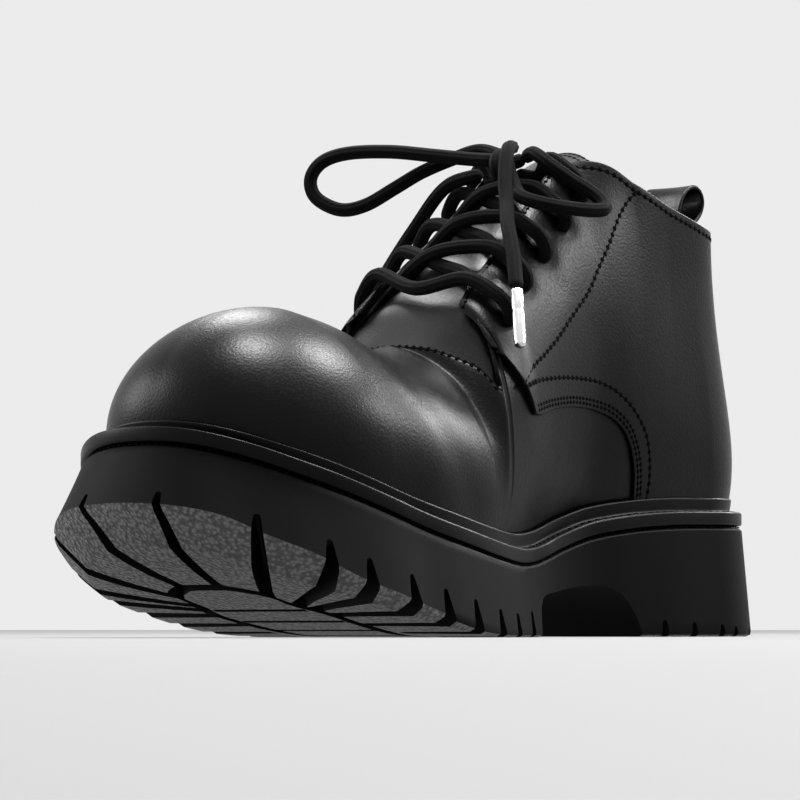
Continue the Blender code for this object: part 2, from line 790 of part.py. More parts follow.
def make_pull_loop(material, collection, cutters):
    """Teardrop of strap on a sewn tail inside the collar, one joined solid."""
    across = strap_columns()
    count = len(across)
    middle = np.array(LOOP_PROFILE)
    around = np.roll(middle, -1, axis=0) - np.roll(middle, 1, axis=0)
    side = np.stack([around[:, 1], -around[:, 0]], axis=1)
    side = side / np.linalg.norm(side, axis=1, keepdims=True)
    points = []
    for place, way in zip(middle, side):
        for offset, order in ((LOOP_THICK / 2, across), (-LOOP_THICK / 2, across[::-1])):
            s, z = place + offset * way
            points += [bent(x, s, z) for x in order]
    per_ring = 2 * count
    rings = len(middle)
    faces = []
    for r in range(rings):
        for c in range(per_ring):
            d = (c + 1) % per_ring
            n = (r + 1) % rings
            faces.append((r * per_ring + c, r * per_ring + d,
                          n * per_ring + d, n * per_ring + c))
    strap = mesh_object("pull_loop", points, faces, material, collection)
    station, low, high = LOOP_TAIL
    section = [(station - LOOP_THICK, x) for x in across]
    section += [(station + LOOP_THICK, x) for x in across[::-1]]
    points = [bent(x, s, z) for z in (low, high) for s, x in section]
    faces = grid_faces(2, per_ring, closed=True)
    faces += [tuple(range(per_ring)), tuple(reversed(range(per_ring, 2 * per_ring)))]
    tail = mesh_object("pull_loop_tail", points, faces, None, cutters)
    boolean(strap, tail, "UNION")
    return strap


# ---------------------------------------------------------------- lace

def curve_through(points, steps):
    """Catmull-Rom line through the points, with equal steps in each span."""
    points = np.asarray(points, dtype=float)
    key = np.arange(len(points))
    at = np.linspace(0, len(points) - 1, (len(points) - 1) * steps + 1)
    return np.stack([smooth(np.stack([key, points[:, k]], axis=1), 1, at)
                     for k in range(3)], axis=1)


def cord(name, points, material, collection):
    """Round cord as a curve with filled ends."""
    curve = bpy.data.curves.new(name, "CURVE")
    curve.dimensions = "3D"
    spline = curve.splines.new("POLY")
    spline.points.add(len(points) - 1)
    for slot, point in zip(spline.points, points):
        slot.co = (*world(*point), 1.0)
    curve.bevel_depth = LACE_RADIUS * MM
    curve.bevel_resolution = 2
    curve.use_fill_caps = True
    curve.materials.append(material)
    obj = bpy.data.objects.new(name, curve)
    collection.objects.link(obj)
    return obj


def solid_cord(name, points, material, collection):
    """Round cord turned into a closed mesh."""
    curve = cord(name + "_curve", points, material, collection)
    bpy.context.view_layer.update()
    graph = bpy.context.evaluated_depsgraph_get()
    mesh = bpy.data.meshes.new_from_object(curve.evaluated_get(graph))
    bpy.data.objects.remove(curve, do_unlink=True)
    bm = bmesh.new()
    bm.from_mesh(mesh)
    bmesh.ops.remove_doubles(bm, verts=bm.verts, dist=0.00001)
    bmesh.ops.recalc_face_normals(bm, faces=bm.faces)
    bm.to_mesh(mesh)
    bm.free()
    mesh.name = name
    obj = bpy.data.objects.new(name, mesh)
    collection.objects.link(obj)
    return obj


def eyelet(side, row):
    """Place along the side and share of the column of one eyelet."""
    name = "medial" if side > 0 else "lateral"
    return EYELETS[row][column(EYELET_COLUMNS, name)], EYELETS[row][-1]


def over_facing(side, row):
    """Lace over one facing, from its edge to its eyelet."""
    along, share = eyelet(side, row)
    high = LACE_RADIUS + LACE_CLEAR
    edge = skin(side, along + EDGE_AHEAD, 1.0, high + EDGE_LIFT)
    middle = skin(side, along + MIDDLE_AHEAD, (1.0 + share) / 2, high + MIDDLE_LIFT)
    end = skin(side, along, share, high)
    return [edge, middle, end]


def throat_half(station):
    """Half width of the throat at a station."""
    rows = np.array(THROAT)
    return float(np.interp(station, rows[:, 2], rows[:, 1]))


def strand(side, row, above):
    """Crossing strand: from the far side of one row over the facing of the next."""
    facing = over_facing(side, row + 1)
    start_station = skin(-side, eyelet(-side, row)[0] - START_AHEAD, 1.0, 0.0)[1]
    half = throat_half(start_station) - LACE_RADIUS - START_INSIDE
    clear = LACE_RADIUS + LACE_CLEAR
    start = tongue_point(RIM_MIDDLE - side * half, start_station, clear + START_LIFT)
    middle_station = (start_station + facing[0][1]) / 2
    middle = tongue_point(0.0, middle_station, clear + above)
    return curve_through([start, middle] + facing, 2)


def make_lace(material, collection, cutters):
    """Lowest bar, three crossings and the two runs from the top eyelets to the knot."""
    medial = over_facing(1, 0)
    lateral = over_facing(-1, 0)
    middle_station = (medial[0][1] + lateral[0][1]) / 2
    middle = tongue_point(0.0, middle_station, LACE_RADIUS + BAR_LIFT)
    route = curve_through(medial[::-1] + [middle] + lateral, 2)
    solid_cord("lace_bar", route, material, collection)
    for row in range(3):
        name = "lace_cross_" + str(row + 1)
        lower = solid_cord(name, strand(-1, row, 0.0), material, collection)
        upper = solid_cord(name + "_over", strand(1, row, OVER_LIFT), material, cutters)
        boolean(lower, upper, "UNION")
    for side, name in ((1, "lace_top_medial"), (-1, "lace_top_lateral")):
        start = tongue_point(side * TOP_START[0], TOP_START[1], LACE_RADIUS + TOP_LIFT)
        route = curve_through([start] + over_facing(side, 4), 2)
        solid_cord(name, route, material, collection)


def knot_route():
    """Most of one turn round the lace's middle, drawn out sideways like a spring."""
    centre = tongue_point(0.0, KNOT_STATION, KNOT_ABOVE)
    turn = np.linspace(-KNOT_TURN * pi, KNOT_TURN * pi, 13)
    x = centre[0] + KNOT_PITCH * turn / (2 * pi)
    station = centre[1] + KNOT_RADIUS * np.sin(turn)
    z = centre[2] + KNOT_RADIUS * np.cos(turn)
    return np.stack([x, station, z], axis=1)


def make_aglet(name, start, toward, material, collection):
    """Metal tube with two crimps, on the lace's line."""
    start = np.asarray(start)
    way = np.asarray(toward) - start
    way = way / np.linalg.norm(way)
    side = np.cross(way, (0.0, 0.0, 1.0))
    side = side / np.linalg.norm(side)
    other = np.cross(way, side)
    turn = np.linspace(0, 2 * pi, 9)[:-1]
    points = []
    for along, share in AGLET_SHAPE:
        for angle in turn:
            out = AGLET_RADIUS * share * (np.cos(angle) * side + np.sin(angle) * other)
            points.append(world(*(start + way * (along + 2 * GAP) + out)))
    faces = grid_faces(len(AGLET_SHAPE), 8, closed=True)
    last = 8 * (len(AGLET_SHAPE) - 1)
    faces += [tuple(range(8)), tuple(reversed(range(last, last + 8)))]
    return mesh_object(name, points, faces, material, collection)


def make_bow(lace, metal, collection):
    """Knot, two loops and two ends with their aglets."""
    cord("lace_knot", knot_route(), lace, collection)
    cord("lace_loop_lateral", curve_through(LOOP_LATERAL, 2), lace, collection)
    cord("lace_loop_medial", curve_through(LOOP_MEDIAL, 2), lace, collection)
    cord("lace_end_lateral", curve_through(END_LATERAL, 2), lace, collection)
    cord("lace_end_medial", curve_through(END_MEDIAL, 2), lace, collection)
    make_aglet("aglet_lateral", END_LATERAL[-1], AGLET_LATERAL, metal, collection)
    make_aglet("aglet_medial", END_MEDIAL[-1], AGLET_MEDIAL, metal, collection)


# ---------------------------------------------------------------- scene

def clear_scene():
    """Remove everything from the scene."""
    for obj in list(bpy.data.objects):
        bpy.data.objects.remove(obj, do_unlink=True)


def new_collection(name):
    """Collection linked to the scene."""
    collection = bpy.data.collections.new(name)
    bpy.context.scene.collection.children.link(collection)
    return collection


def main():
    """Build every piece."""
    clear_scene()
    parts = new_collection(COLLECTION)
    cutters = new_collection("cutters")
    rubber = principled("black_rubber", (0.012, 0.012, 0.013), 0.62)
    leather = principled("black_leather", (0.010, 0.010, 0.011), 0.36)
    lining = principled("black_lining", (0.018, 0.018, 0.019), 0.75)
    make_outsole(rubber, parts, cutters)
    make_midsole(rubber, parts)
    make_insole(lining, parts)
    make_upper(leather, parts)
    make_tongue(leather, parts)
    make_pull_loop(leather, parts, cutters)
    lace = principled("black_lace", (0.014, 0.014, 0.015), 0.8)
    make_lace(lace, parts, cutters)
    make_bow(lace, principled("steel_aglet", (0.62, 0.62, 0.63), 0.25, 1.0), parts)


main()
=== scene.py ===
# %% Elevator derby shoe: the looks
# %% [markdown]
# A right-foot derby boot with a bulbous toe on a thick lugged rubber sole, all in black.
# The CAD model gives every main shape.  This script draws the same shapes finely, adds the
# grain, seams, ribbed lace and metal tips, and lights them as in a small product studio.
# All tables are in millimetres: x is to the medial side, station runs forward from the
# back of the heel, and z is up.  world() turns them into metres in the shared frame.

from math import pi

import bmesh
import bpy
import numpy as np
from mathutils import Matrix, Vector

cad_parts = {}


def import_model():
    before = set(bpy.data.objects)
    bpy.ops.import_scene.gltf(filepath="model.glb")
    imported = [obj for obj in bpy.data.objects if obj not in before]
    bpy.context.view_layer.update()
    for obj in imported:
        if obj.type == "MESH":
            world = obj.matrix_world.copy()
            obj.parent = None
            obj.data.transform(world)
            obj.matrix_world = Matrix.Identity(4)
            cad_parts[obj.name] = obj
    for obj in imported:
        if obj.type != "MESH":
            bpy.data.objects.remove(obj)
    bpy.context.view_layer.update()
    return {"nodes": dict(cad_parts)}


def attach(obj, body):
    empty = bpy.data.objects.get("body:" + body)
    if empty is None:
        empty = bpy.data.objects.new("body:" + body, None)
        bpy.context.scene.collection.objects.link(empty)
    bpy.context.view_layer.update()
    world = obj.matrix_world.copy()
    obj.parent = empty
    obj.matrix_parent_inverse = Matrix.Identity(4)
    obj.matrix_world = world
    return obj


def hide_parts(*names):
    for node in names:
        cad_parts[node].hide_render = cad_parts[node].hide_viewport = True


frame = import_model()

MM = 0.001
HEEL_CENTRE = 40.0
TOE_CENTRE = 233.0
print("frame nodes:", sorted(frame["nodes"]))

# %% Camera
# %% [markdown]
# The camera comes first.
# It stands low beside the toe on the medial side, just above the floor, so the shoe towers
# over it and the underside of the turned-up toe shows.  A long lens keeps the sides true.

CAMERA_PLACE = (0.8413, -1.0624, 0.0030)
CAMERA_TARGET = (0.0000, -0.1322, 0.0806)
CAMERA_LENS = 166.0


def add_object(name, data):
    """New object of the data, linked to the scene."""
    obj = bpy.data.objects.new(name, data)
    bpy.context.scene.collection.objects.link(obj)
    return obj


def aim(obj, target):
    """Turn an object so that its -Z axis looks at the target."""
    look = Vector(target) - obj.location
    obj.rotation_euler = look.to_track_quat("-Z", "Y").to_euler()


def make_camera():
    """Camera at its place, looking at its target."""
    data = bpy.data.cameras.new("camera")
    data.lens = CAMERA_LENS
    data.clip_start = 0.01
    camera = add_object("camera", data)
    camera.location = CAMERA_PLACE
    aim(camera, CAMERA_TARGET)
    bpy.context.scene.camera = camera


make_camera()
print("camera at", CAMERA_PLACE, "with a lens of", CAMERA_LENS)

# %% Small maths
# %% [markdown]
# Every curved form comes from a table of a few given values.  A Catmull-Rom spline runs
# through them, and because it works on whole arrays, a surface of tens of thousands of
# points is one call.


def smooth(table, column, at):
    """Catmull-Rom value of a column: cubic between rows, slopes from the rows beside them."""
    rows = np.asarray(table, dtype=float)
    key = rows[:, 0]
    value = rows[:, column]
    at = np.clip(np.asarray(at, dtype=float), key[0], key[-1])
    slope = np.gradient(value, key)
    i = np.clip(np.searchsorted(key, at, side="right") - 1, 0, len(key) - 2)
    span = key[i + 1] - key[i]
    t = (at - key[i]) / span
    return ((2 * t**3 - 3 * t**2 + 1) * value[i] + (t**3 - 2 * t**2 + t) * span * slope[i]
            + (3 * t**2 - 2 * t**3) * value[i + 1] + (t**3 - t**2) * span * slope[i + 1])


def curve_through(points, steps):
    """Catmull-Rom line through points, with equal steps in each span."""
    points = np.asarray(points, dtype=float)
    key = np.arange(len(points))
    at = np.linspace(0, len(points) - 1, (len(points) - 1) * steps + 1)
    return np.stack([smooth(np.stack([key, column], axis=1), 1, at) for column in points.T],
                    axis=1)


def unit(vectors):
    """Vectors divided by their own length."""
    return vectors / np.maximum(np.linalg.norm(vectors, axis=-1, keepdims=True), 1e-12)


def line_length(points):
    """Length along a line up to each of its points."""
    step = np.linalg.norm(np.diff(points, axis=0), axis=1)
    return np.concatenate([[0.0], np.cumsum(step)])


def read_off(values, length, at):
    """Rows of values interpolated where their length is at."""
    return np.stack([np.interp(at, length, column) for column in values.T], axis=1)


def spaced(points, pitch):
    """The same line with its points a pitch apart along it."""
    length = line_length(points)
    count = max(int(round(length[-1] / pitch)), 2)
    return read_off(points, length, np.linspace(0.0, length[-1], count + 1))


def stepped(*marks):
    """Values from the first mark to the last, where marks and numbers of steps take turns."""
    spans = zip(marks[:-2:2], marks[1::2], marks[2::2])
    parts = [np.linspace(start, end, count, endpoint=False) for start, count, end in spans]
    return np.concatenate(parts + [[marks[-1]]])


def line_distance(points, line):
    """Distance from each point to a line of straight segments: nearest over the segments."""
    flat = points.reshape(-1, 3)
    best = np.full(len(flat), 1e9)
    for start, end in zip(line[:-1], line[1:]):
        way = end - start
        share = np.clip((flat - start) @ way / max(way @ way, 1e-12), 0.0, 1.0)
        best = np.minimum(best, np.linalg.norm(flat - start - share[:, None] * way, axis=1))
    return best.reshape(points.shape[:-1])


def world(points):
    """Metres in the shared frame from (x, station, z) in millimetres."""
    x, station, z = np.moveaxis(np.asarray(points, dtype=float), -1, 0)
    return np.stack([x, HEEL_CENTRE - station, z], axis=-1) * MM


print("half of a small curve:", curve_through([(0, 0, 0), (1, 0, 0), (2, 1, 0)], 2)[1])

# %% Meshes
# %% [markdown]
# A grid of points becomes quads in one array expression.  Doubles are merged, so seams and
# poles close, and the faces are then turned to point outwards.

PIECES = []
# Distances in metres at which points are merged and slivers of faces dissolved.
MERGE = 0.000004
SLIVER = 0.000002


def grid_quads(rows, columns, closed=False):
    """Quads of a grid stored row by row: each joins a point to its right, upper right and
    upper neighbours; closed joins the last column to the first."""
    r = np.arange(rows - 1)[:, None] * columns
    c = np.arange(columns if closed else columns - 1)[None, :]
    d = (c + 1) % columns
    quads = np.stack([r + c, r + d, r + columns + d, r + columns + c], axis=-1)
    return quads.reshape(-1, 4)


def turn_outward(mesh, merge):
    """Turn the faces of a closed mesh outwards; merge joins its doubles before that."""
    bm = bmesh.new()
    bm.from_mesh(mesh)
    if merge:
        bmesh.ops.remove_doubles(bm, verts=bm.verts, dist=MERGE)
        bmesh.ops.dissolve_degenerate(bm, edges=bm.edges, dist=SLIVER)
    bmesh.ops.recalc_face_normals(bm, faces=bm.faces)
    bm.to_mesh(mesh)
    bm.free()


def make_piece(name, points, faces, material, uv=None):
    """Object of the piece from millimetre points, merged, closed and facing outwards.  The
    UV of each point goes to the corners of its faces, so it survives the merging."""
    mesh = bpy.data.meshes.new(name)
    mesh.from_pydata(world(points), [], faces.tolist())
    if uv is not None:
        corner = np.zeros(len(mesh.loops), dtype=np.int64)
        mesh.loops.foreach_get("vertex_index", corner)
        layer = mesh.uv_layers.new(name="UVMap")
        layer.data.foreach_set("uv", uv[corner].astype(np.float32).ravel())
    turn_outward(mesh, merge=True)
    mesh.shade_smooth()
    mesh.materials.append(material)
    PIECES.append(add_object(name, mesh))
    return PIECES[-1]


def slab(name, surface, normal, outer, inner, material):
    """Closed sheet: its faces lie outer above and inner below the surface, along the
    normal, and a strip of quads joins them round the border."""
    rows, columns = surface.shape[:2]
    top = surface + normal * outer[..., None]
    bottom = surface - normal * inner[..., None]
    quads = grid_quads(rows, columns)
    index = np.arange(rows * columns).reshape(rows, columns)
    border = np.concatenate([index[0, :], index[1:, -1], index[-1, -2::-1], index[-2::-1, 0]])
    ahead = np.roll(border[:-1], -1)
    count = rows * columns
    walls = np.stack([border[:-1], border[:-1] + count, ahead + count, ahead], axis=-1)
    faces = np.concatenate([quads, quads[:, ::-1] + count, walls])
    points = np.concatenate([top.reshape(-1, 3), bottom.reshape(-1, 3)])
    return make_piece(name, points, faces, material)


def rounded(distance, radius):
    """Height of a quarter circle that starts at an edge: 0 at the edge, 1 past the radius."""
    share = np.clip(distance / radius, 0.0, 1.0)
    return np.sqrt(1.0 - (1.0 - share) ** 2)


def grid_normals(points, way=1.0):
    """Unit normals of a grid from the cross product of its two directions, turned round by
    a way of -1; a pole, where one direction vanishes, looks up."""
    around = np.gradient(points, axis=1)
    along = np.gradient(points, axis=0)
    normal = way * np.cross(around, along)
    length = np.linalg.norm(normal, axis=2, keepdims=True)
    return np.where(length > 1e-7, normal / np.maximum(length, 1e-12), (0.0, 0.0, 1.0))


def joined_copies(template, centres, tangent, normal):
    """One mesh from many copies: each point of the template is placed along the tangent,
    across it and along the normal at every centre."""
    shape, quads = template
    across = unit(np.cross(normal, tangent))
    frames = np.stack([tangent, across, normal], axis=1)
    points = centres[:, None, :] + np.einsum("pk,nkc->npc", shape, frames)
    offsets = np.arange(len(centres))[:, None, None] * len(shape)
    faces = (quads[None] + offsets).reshape(-1, 4)
    return points.reshape(-1, 3), faces


def pebble(length, width, height, rings=5, sides=6):
    """Small closed ellipsoid lying along its first axis, with its poles at the two ends."""
    turn = np.linspace(0.0, pi, rings + 1)[:, None]
    side = np.linspace(0.0, 2 * pi, sides + 1)[None, :-1]
    shape = np.stack([-length / 2 * np.cos(turn) + 0 * side,
                      width / 2 * np.sin(turn) ** 0.6 * np.cos(side),
                      height / 2 * np.sin(turn) ** 0.6 * np.sin(side)], axis=-1)
    return shape.reshape(-1, 3), grid_quads(rings + 1, sides, closed=True)


print("a stitch has", len(pebble(2, 0.6, 0.4)[1]), "faces")

# %% Shader arithmetic
# %% [markdown]
# A material is a formula over the surface.  Socket lets the formula be written with plain
# operators: each one adds a Math node, and Graph.node makes every node in one way.


class Socket:
    """Output of a shader node that can be added, subtracted, multiplied and so on."""

    def __init__(self, graph, output):
        self.graph = graph
        self.output = output

    def math(self, operation, *others):
        """Math node of the operation over this value and the others."""
        inputs = {0: self}
        inputs.update({i + 1: other for i, other in enumerate(others)})
        return self.graph.node("ShaderNodeMath", inputs, operation=operation)

    def __add__(self, other):
        return self.math("ADD", other)

    def __mul__(self, other):
        return self.math("MULTIPLY", other)

    def __sub__(self, other):
        return self.math("SUBTRACT", other)

    def __rsub__(self, other):
        return (self * -1.0) + other

    __radd__ = __add__
    __rmul__ = __mul__

    def between(self, low, high):
        """0 at low, 1 at high and smooth between."""
        return self.graph.node("ShaderNodeMapRange",
                               {"Value": self, "From Min": low, "From Max": high},
                               interpolation_type="SMOOTHSTEP")


class Graph:
    """Material with a Principled shader whose inputs are fed by formulas."""

    def __init__(self, name, colour, roughness, metallic=0.0):
        self.material = bpy.data.materials.new(name)
        self.material.use_nodes = True
        self.tree = self.material.node_tree
        self.shader = self.tree.nodes["Principled BSDF"]
        self.set("Base Color", (*colour, 1.0))
        self.set("Roughness", roughness)
        self.set("Metallic", metallic)
        self.place = self.node("ShaderNodeTexCoord", output="Object")

    def set(self, name, value):
        """Feed one input of the shader with a constant or a formula."""
        self.feed(self.shader.inputs[name], value)

    def feed(self, slot, value):
        """Link a Socket to an input, or store a constant there."""
        if isinstance(value, Socket):
            self.tree.links.new(value.output, slot)
        else:
            slot.default_value = value

    def node(self, kind, inputs=None, output=0, **settings):
        """New node with its settings and inputs, as the Socket of one output."""
        made = self.tree.nodes.new(kind)
        for key, value in settings.items():
            setattr(made, key, value)
        for key, value in (inputs or {}).items():
            self.feed(made.inputs[key], value)
        return Socket(self, made.outputs[output])

    def noise(self, scale, detail=2.0):
        """Soft noise from 0 to 1 with about scale bumps to the metre."""
        return self.node("ShaderNodeTexNoise",
                         {"Vector": self.place, "Scale": scale, "Detail": detail})

    def cells(self, scale, smoothness=0.6):
        """Rounded cells: distance to the nearest of scale points to the metre."""
        return self.node("ShaderNodeTexVoronoi",
                         {"Vector": self.place, "Scale": scale, "Smoothness": smoothness},
                         feature="SMOOTH_F1")

    def surface(self):
        """The two numbers of the piece's own UV map."""
        place = self.node("ShaderNodeTexCoord", output="UV")
        apart = {"Vector": place}
        return (self.node("ShaderNodeSeparateXYZ", apart, output="X"),
                self.node("ShaderNodeSeparateXYZ", apart, output="Y"))

    def mix(self, share, first, second):
        """Colour that goes from the first to the second as the share rises."""
        node = self.tree.nodes.new("ShaderNodeMix")
        node.data_type = "RGBA"
        self.feed(node.inputs["Factor"], share)
        self.feed(node.inputs[6], (*first, 1.0))
        self.feed(node.inputs[7], (*second, 1.0))
        return Socket(self, node.outputs[2])

    def relief(self, height, depth, strength=1.0):
        """Bend the normal as if the surface rose by the height times the depth in metres."""
        bump = self.node("ShaderNodeBump", {"Height": height, "Distance": depth,
                                            "Strength": strength})
        self.set("Normal", bump)


# %% [markdown]
# Smooth chrome-tanned leather is dyed nearly black and finished satin.  Its grain is fine
# rounded pebbles about a millimetre across, with slow swells beneath, and the finish is a
# little glossier where the pebbles stand proud.

# Pebbles, swells and pores of the leather to the metre, and how deep they are in metres.
PEBBLES = 1100.0
SWELLS = 55.0
PORES = 3500.0
LEATHER_RELIEF = 0.00013


def leather_material(name, gloss=0.28, grain=1.0, shine=0.13):
    """Satin black leather: pebbled bump and uneven sheen."""
    g = Graph(name, (0.003, 0.003, 0.0033), gloss)
    pebbles = g.cells(PEBBLES)
    swell = g.noise(SWELLS)
    fine = g.noise(PORES)
    g.set("Roughness", gloss - 0.04 + pebbles * 0.16 + swell * 0.08)
    g.set("Base Color", g.mix(swell.between(0.35, 0.7), (0.0003, 0.0003, 0.00035),
                              (0.0009, 0.0009, 0.001)))
    g.set("Specular IOR Level", shine)
    g.relief(pebbles * -0.8 * grain + fine * 0.2 + swell * 1.0, LEATHER_RELIEF, 0.5)
    return g.material


# %% [markdown]
# The sole is moulded rubber: matt on its walls and coarse, like sand, on the faces that
# meet the ground, where the mould is eroded to grip.


def rubber_material(name, roughness, specular):
    """Black rubber with a faint mould texture."""
    g = Graph(name, (0.0005, 0.0005, 0.00055), roughness)
    fine = g.noise(1500.0, 3.0)
    swell = g.noise(35.0, 2.0)
    g.set("Roughness", swell * 0.10 + fine * 0.06 + roughness - 0.08)
    g.set("Specular IOR Level", specular)
    g.relief(fine * 0.6 + swell * 0.8, 0.00012, 0.5)
    return g.material


def tread_material():
    """Rubber of the ground faces: a deep grain of coarse rounded lumps, with painted shade
    darkening the hollows between them.
    """
    g = Graph("rubber_tread", (0.090, 0.090, 0.093), 0.5)
    lumps = g.cells(640.0, 0.35)
    small = g.noise(1500.0, 2.0)
    g.set("Roughness", lumps * 0.25 + 0.34)
    # Painted shade: the colour is pale on the lump tops and dark in the hollows between lumps.
    g.set("Base Color", g.mix(lumps.between(0.25, 0.65), (0.130, 0.130, 0.134),
                              (0.045, 0.045, 0.0465)))
    g.set("Specular IOR Level", 0.40)
    g.relief(lumps * -1.0 + small * 0.3, 0.0015, 1.0)
    return g.material


# %% [markdown]
# The lace is braided over a core.  Its mesh carries the long flutes, and the fine crossing
# yarns are two families of slanted lines over the length and the turn stored on its points.

# Ribs of the yarns, in radians to a millimetre along the lace and to a radian of turn.
YARNS_ALONG = 9.0
YARNS_ROUND = 14.0


def lace_material():
    """Braid: two slanted families of fine ribs, matt, with painted shade darkening the grooves so
    the crowns read paler.
    """
    g = Graph("lace_braid", (0.008, 0.008, 0.0085), 0.78)
    along, turn = g.surface()
    left = (along * YARNS_ALONG + turn * YARNS_ROUND).math("SINE")
    right = (along * YARNS_ALONG - turn * YARNS_ROUND).math("SINE")
    weave = left.math("MAXIMUM", right)
    # Painted shade: the colour is darker in the grooves between the ribs and paler on their
    # crowns.
    g.set("Base Color", g.mix(weave.between(-0.4, 1.0), (0.0004, 0.0004, 0.00045),
                              (0.0055, 0.0055, 0.0058)))
    g.set("Specular IOR Level", 0.05)
    g.set("Sheen Weight", 0.01)
    g.set("Sheen Roughness", 0.4)
    g.relief(weave, 0.00018, 0.9)
    return g.material


def metal_material():
    """Bright drawn metal of the lace tips, with faint handling marks."""
    g = Graph("tip_metal", (0.78, 0.78, 0.79), 0.22, 1.0)
    g.set("Roughness", g.noise(500.0, 3.0) * 0.22 + 0.14)
    return g.material


def plain_material(name, colour, roughness, scale, depth):
    """Cloth, thread, hidden faces and the painted shade of needle holes: one colour with a soft
    bump.
    """
    g = Graph(name, colour, roughness)
    g.set("Specular IOR Level", 0.03)
    g.relief(g.noise(scale, 3.0), depth, 0.6)
    return g.material


LEATHER = leather_material("upper_leather")
TONGUE_LEATHER = leather_material("tongue_leather", 0.30, 1.0, 0.30)
LOOP_LEATHER = leather_material("loop_leather", 0.26, 0.8)
RUBBER = rubber_material("rubber_wall", 0.58, 0.06)
WELT_RUBBER = rubber_material("rubber_welt", 0.36, 0.10)
TREAD = tread_material()
LACE = lace_material()
METAL = metal_material()
LINING = plain_material("lining_leather", (0.010, 0.010, 0.0105), 0.7, 700.0, 0.0002)
THREAD = plain_material("thread", (0.0008, 0.0008, 0.0009), 0.7, 3000.0, 0.0001)
# Painted shade: the needle holes are flat near-black patches standing for the shade inside each
# hole.
HOLE_SHADE = plain_material("needle_hole_shade", (0.0005, 0.0005, 0.0005), 0.95, 900.0, 0.0001)
print("materials:", [m.name for m in bpy.data.materials])

# %% Plan of the sole
# %% [markdown]
# A shoe is built up from the plan of its sole.  The lip's edge is given by half widths
# along the middle, and the heel and toe are superellipses, which are rounder than an
# ellipse at their shoulders.  A place along one side runs from 0 at the back of the heel
# through 1 and 2, where the round ends begin, to 3 at the tip of the toe.

OUTLINE = (
    (40, 34.8, 37.8), (65, 34.6, 38.4), (90, 32.8, 40), (111, 30.6, 43), (131, 33.6, 48),
    (155, 43.2, 53.6), (181, 52.8, 57.6), (208, 58.2, 59.2), (233, 58.8, 59.2),
)
HEEL_END = (-1.5, 36.8, 2.2)
TOE_END = (0.0, 64.0, 2.2)

LEVEL_COLUMNS = ("station", "lip", "tread", "edge", "splay", "ledge")
LEVELS = (
    (-8, 45.4, 0, 0.8, 3.2, 3.8),
    (40, 45, 0, 0.8, 3, 3.8),
    (67, 44.3, 0, 0.8, 2.8, 3.7),
    (90, 42.4, 0, 0.8, 2.2, 3.6),
    (104, 40.3, 0, 0.8, 2, 3.6),
    (120, 36.3, 0, 0.8, 2, 3.6),
    (140, 31.4, 0, 0.8, 2.6, 3.8),
    (158, 29.7, 0, 0.8, 3.4, 4),
    (180, 31.4, 0, 0.8, 4.2, 4.4),
    (200, 34.7, 1.2, 2.2, 4.8, 4.8),
    (218, 38.4, 4, 6, 5.4, 5.2),
    (239, 44.3, 8.5, 12, 6.2, 5.6),
    (261, 51.6, 14.3, 19, 7.2, 6),
    (273, 56, 18.5, 25, 8, 6.2),
    (287, 62.2, 25, 31.5, 8.6, 6.3),
    (297, 66.8, 30.5, 38, 8.8, 6.4),
    (308, 69.5, 36, 42.5, 9, 6.4),
)
LIP_HEIGHT = 5.4
RAND_HEIGHT = 5.0
RAND_WALL = 1.2
GAP = 0.3


def level(name, station):
    """Height or width of the sole at a station, never below the ground."""
    return np.maximum(smooth(LEVELS, LEVEL_COLUMNS.index(name), station), 0.0)


def half_width(side, station):
    """Half width of the lip: the medial or the lateral column of the outline."""
    return smooth(OUTLINE, 1 if side > 0 else 2, station)


def outline(side, along, inset):
    """Plan point of the lip moved in by the inset: straight table between two ends whose
    x and station follow sine and cosine raised to 2 over the power."""
    station = HEEL_CENTRE + (along - 1.0) * (TOE_CENTRE - HEEL_CENTRE)
    x = side * (half_width(side, station) - inset)
    ends = ((HEEL_CENTRE, -1, HEEL_END, along, along < 1.0, np.sin, np.cos),
            (TOE_CENTRE, 1, TOE_END, along - 2.0, along > 2.0, np.cos, np.sin))
    for centre, way, (middle, reach, power), past, inside, across, ahead in ends:
        turn = np.clip(past, 0.0, 1.0) * pi / 2
        half = half_width(side, centre) - side * middle - inset
        end_x = middle + side * half * across(turn).clip(0) ** (2 / power)
        end_station = centre + way * (reach - inset) * ahead(turn).clip(0) ** (2 / power)
        x = np.where(inside, end_x, x)
        station = np.where(inside, end_station, station)
    return np.stack([x, station], axis=-1)


def inset_outline(side, along, inset):
    """Plan point moved in by inset(station)."""
    return outline(side, along, inset(outline(side, along, 0.0)[..., 1]))


def feather_inset(station):
    """From the lip's edge in to the outer face of the upper's foot."""
    return level("ledge", station) + RAND_WALL + 1.8 * GAP


def centre_line(station):
    """Middle of the sole under a station, kept to the straight part."""
    own = np.clip(station, HEEL_CENTRE, TOE_CENTRE)
    return np.stack([(half_width(1, own) - half_width(-1, own)) / 2, own], axis=-1)


# %% Sole
# %% [markdown]
# The sole is drawn as closed rings round the plan, one above the other, each with its own
# inset and height.  Rings drawn in towards the middle line close the top and the bottom.


def ring(profile, places):
    """Closed ring of points: medial side from heel to toe, then the lateral side back.
    profile(station) is the inset from the lip's edge and the height."""
    halves = []
    for side in (1, -1):
        own = places if side > 0 else places[1:-1][::-1]
        plan = inset_outline(side, own, lambda s: profile(s)[0])
        halves.append(np.column_stack([plan, profile(plan[:, 1])[1]]))
    return np.concatenate(halves)


def shrunk(points, share, profile):
    """Ring drawn in towards the middle line by the share, laid at the profile's height."""
    middle = centre_line(points[:, 1])
    plan = middle + share * (points[:, :2] - middle)
    return np.column_stack([plan, profile(plan[:, 1])[1]])


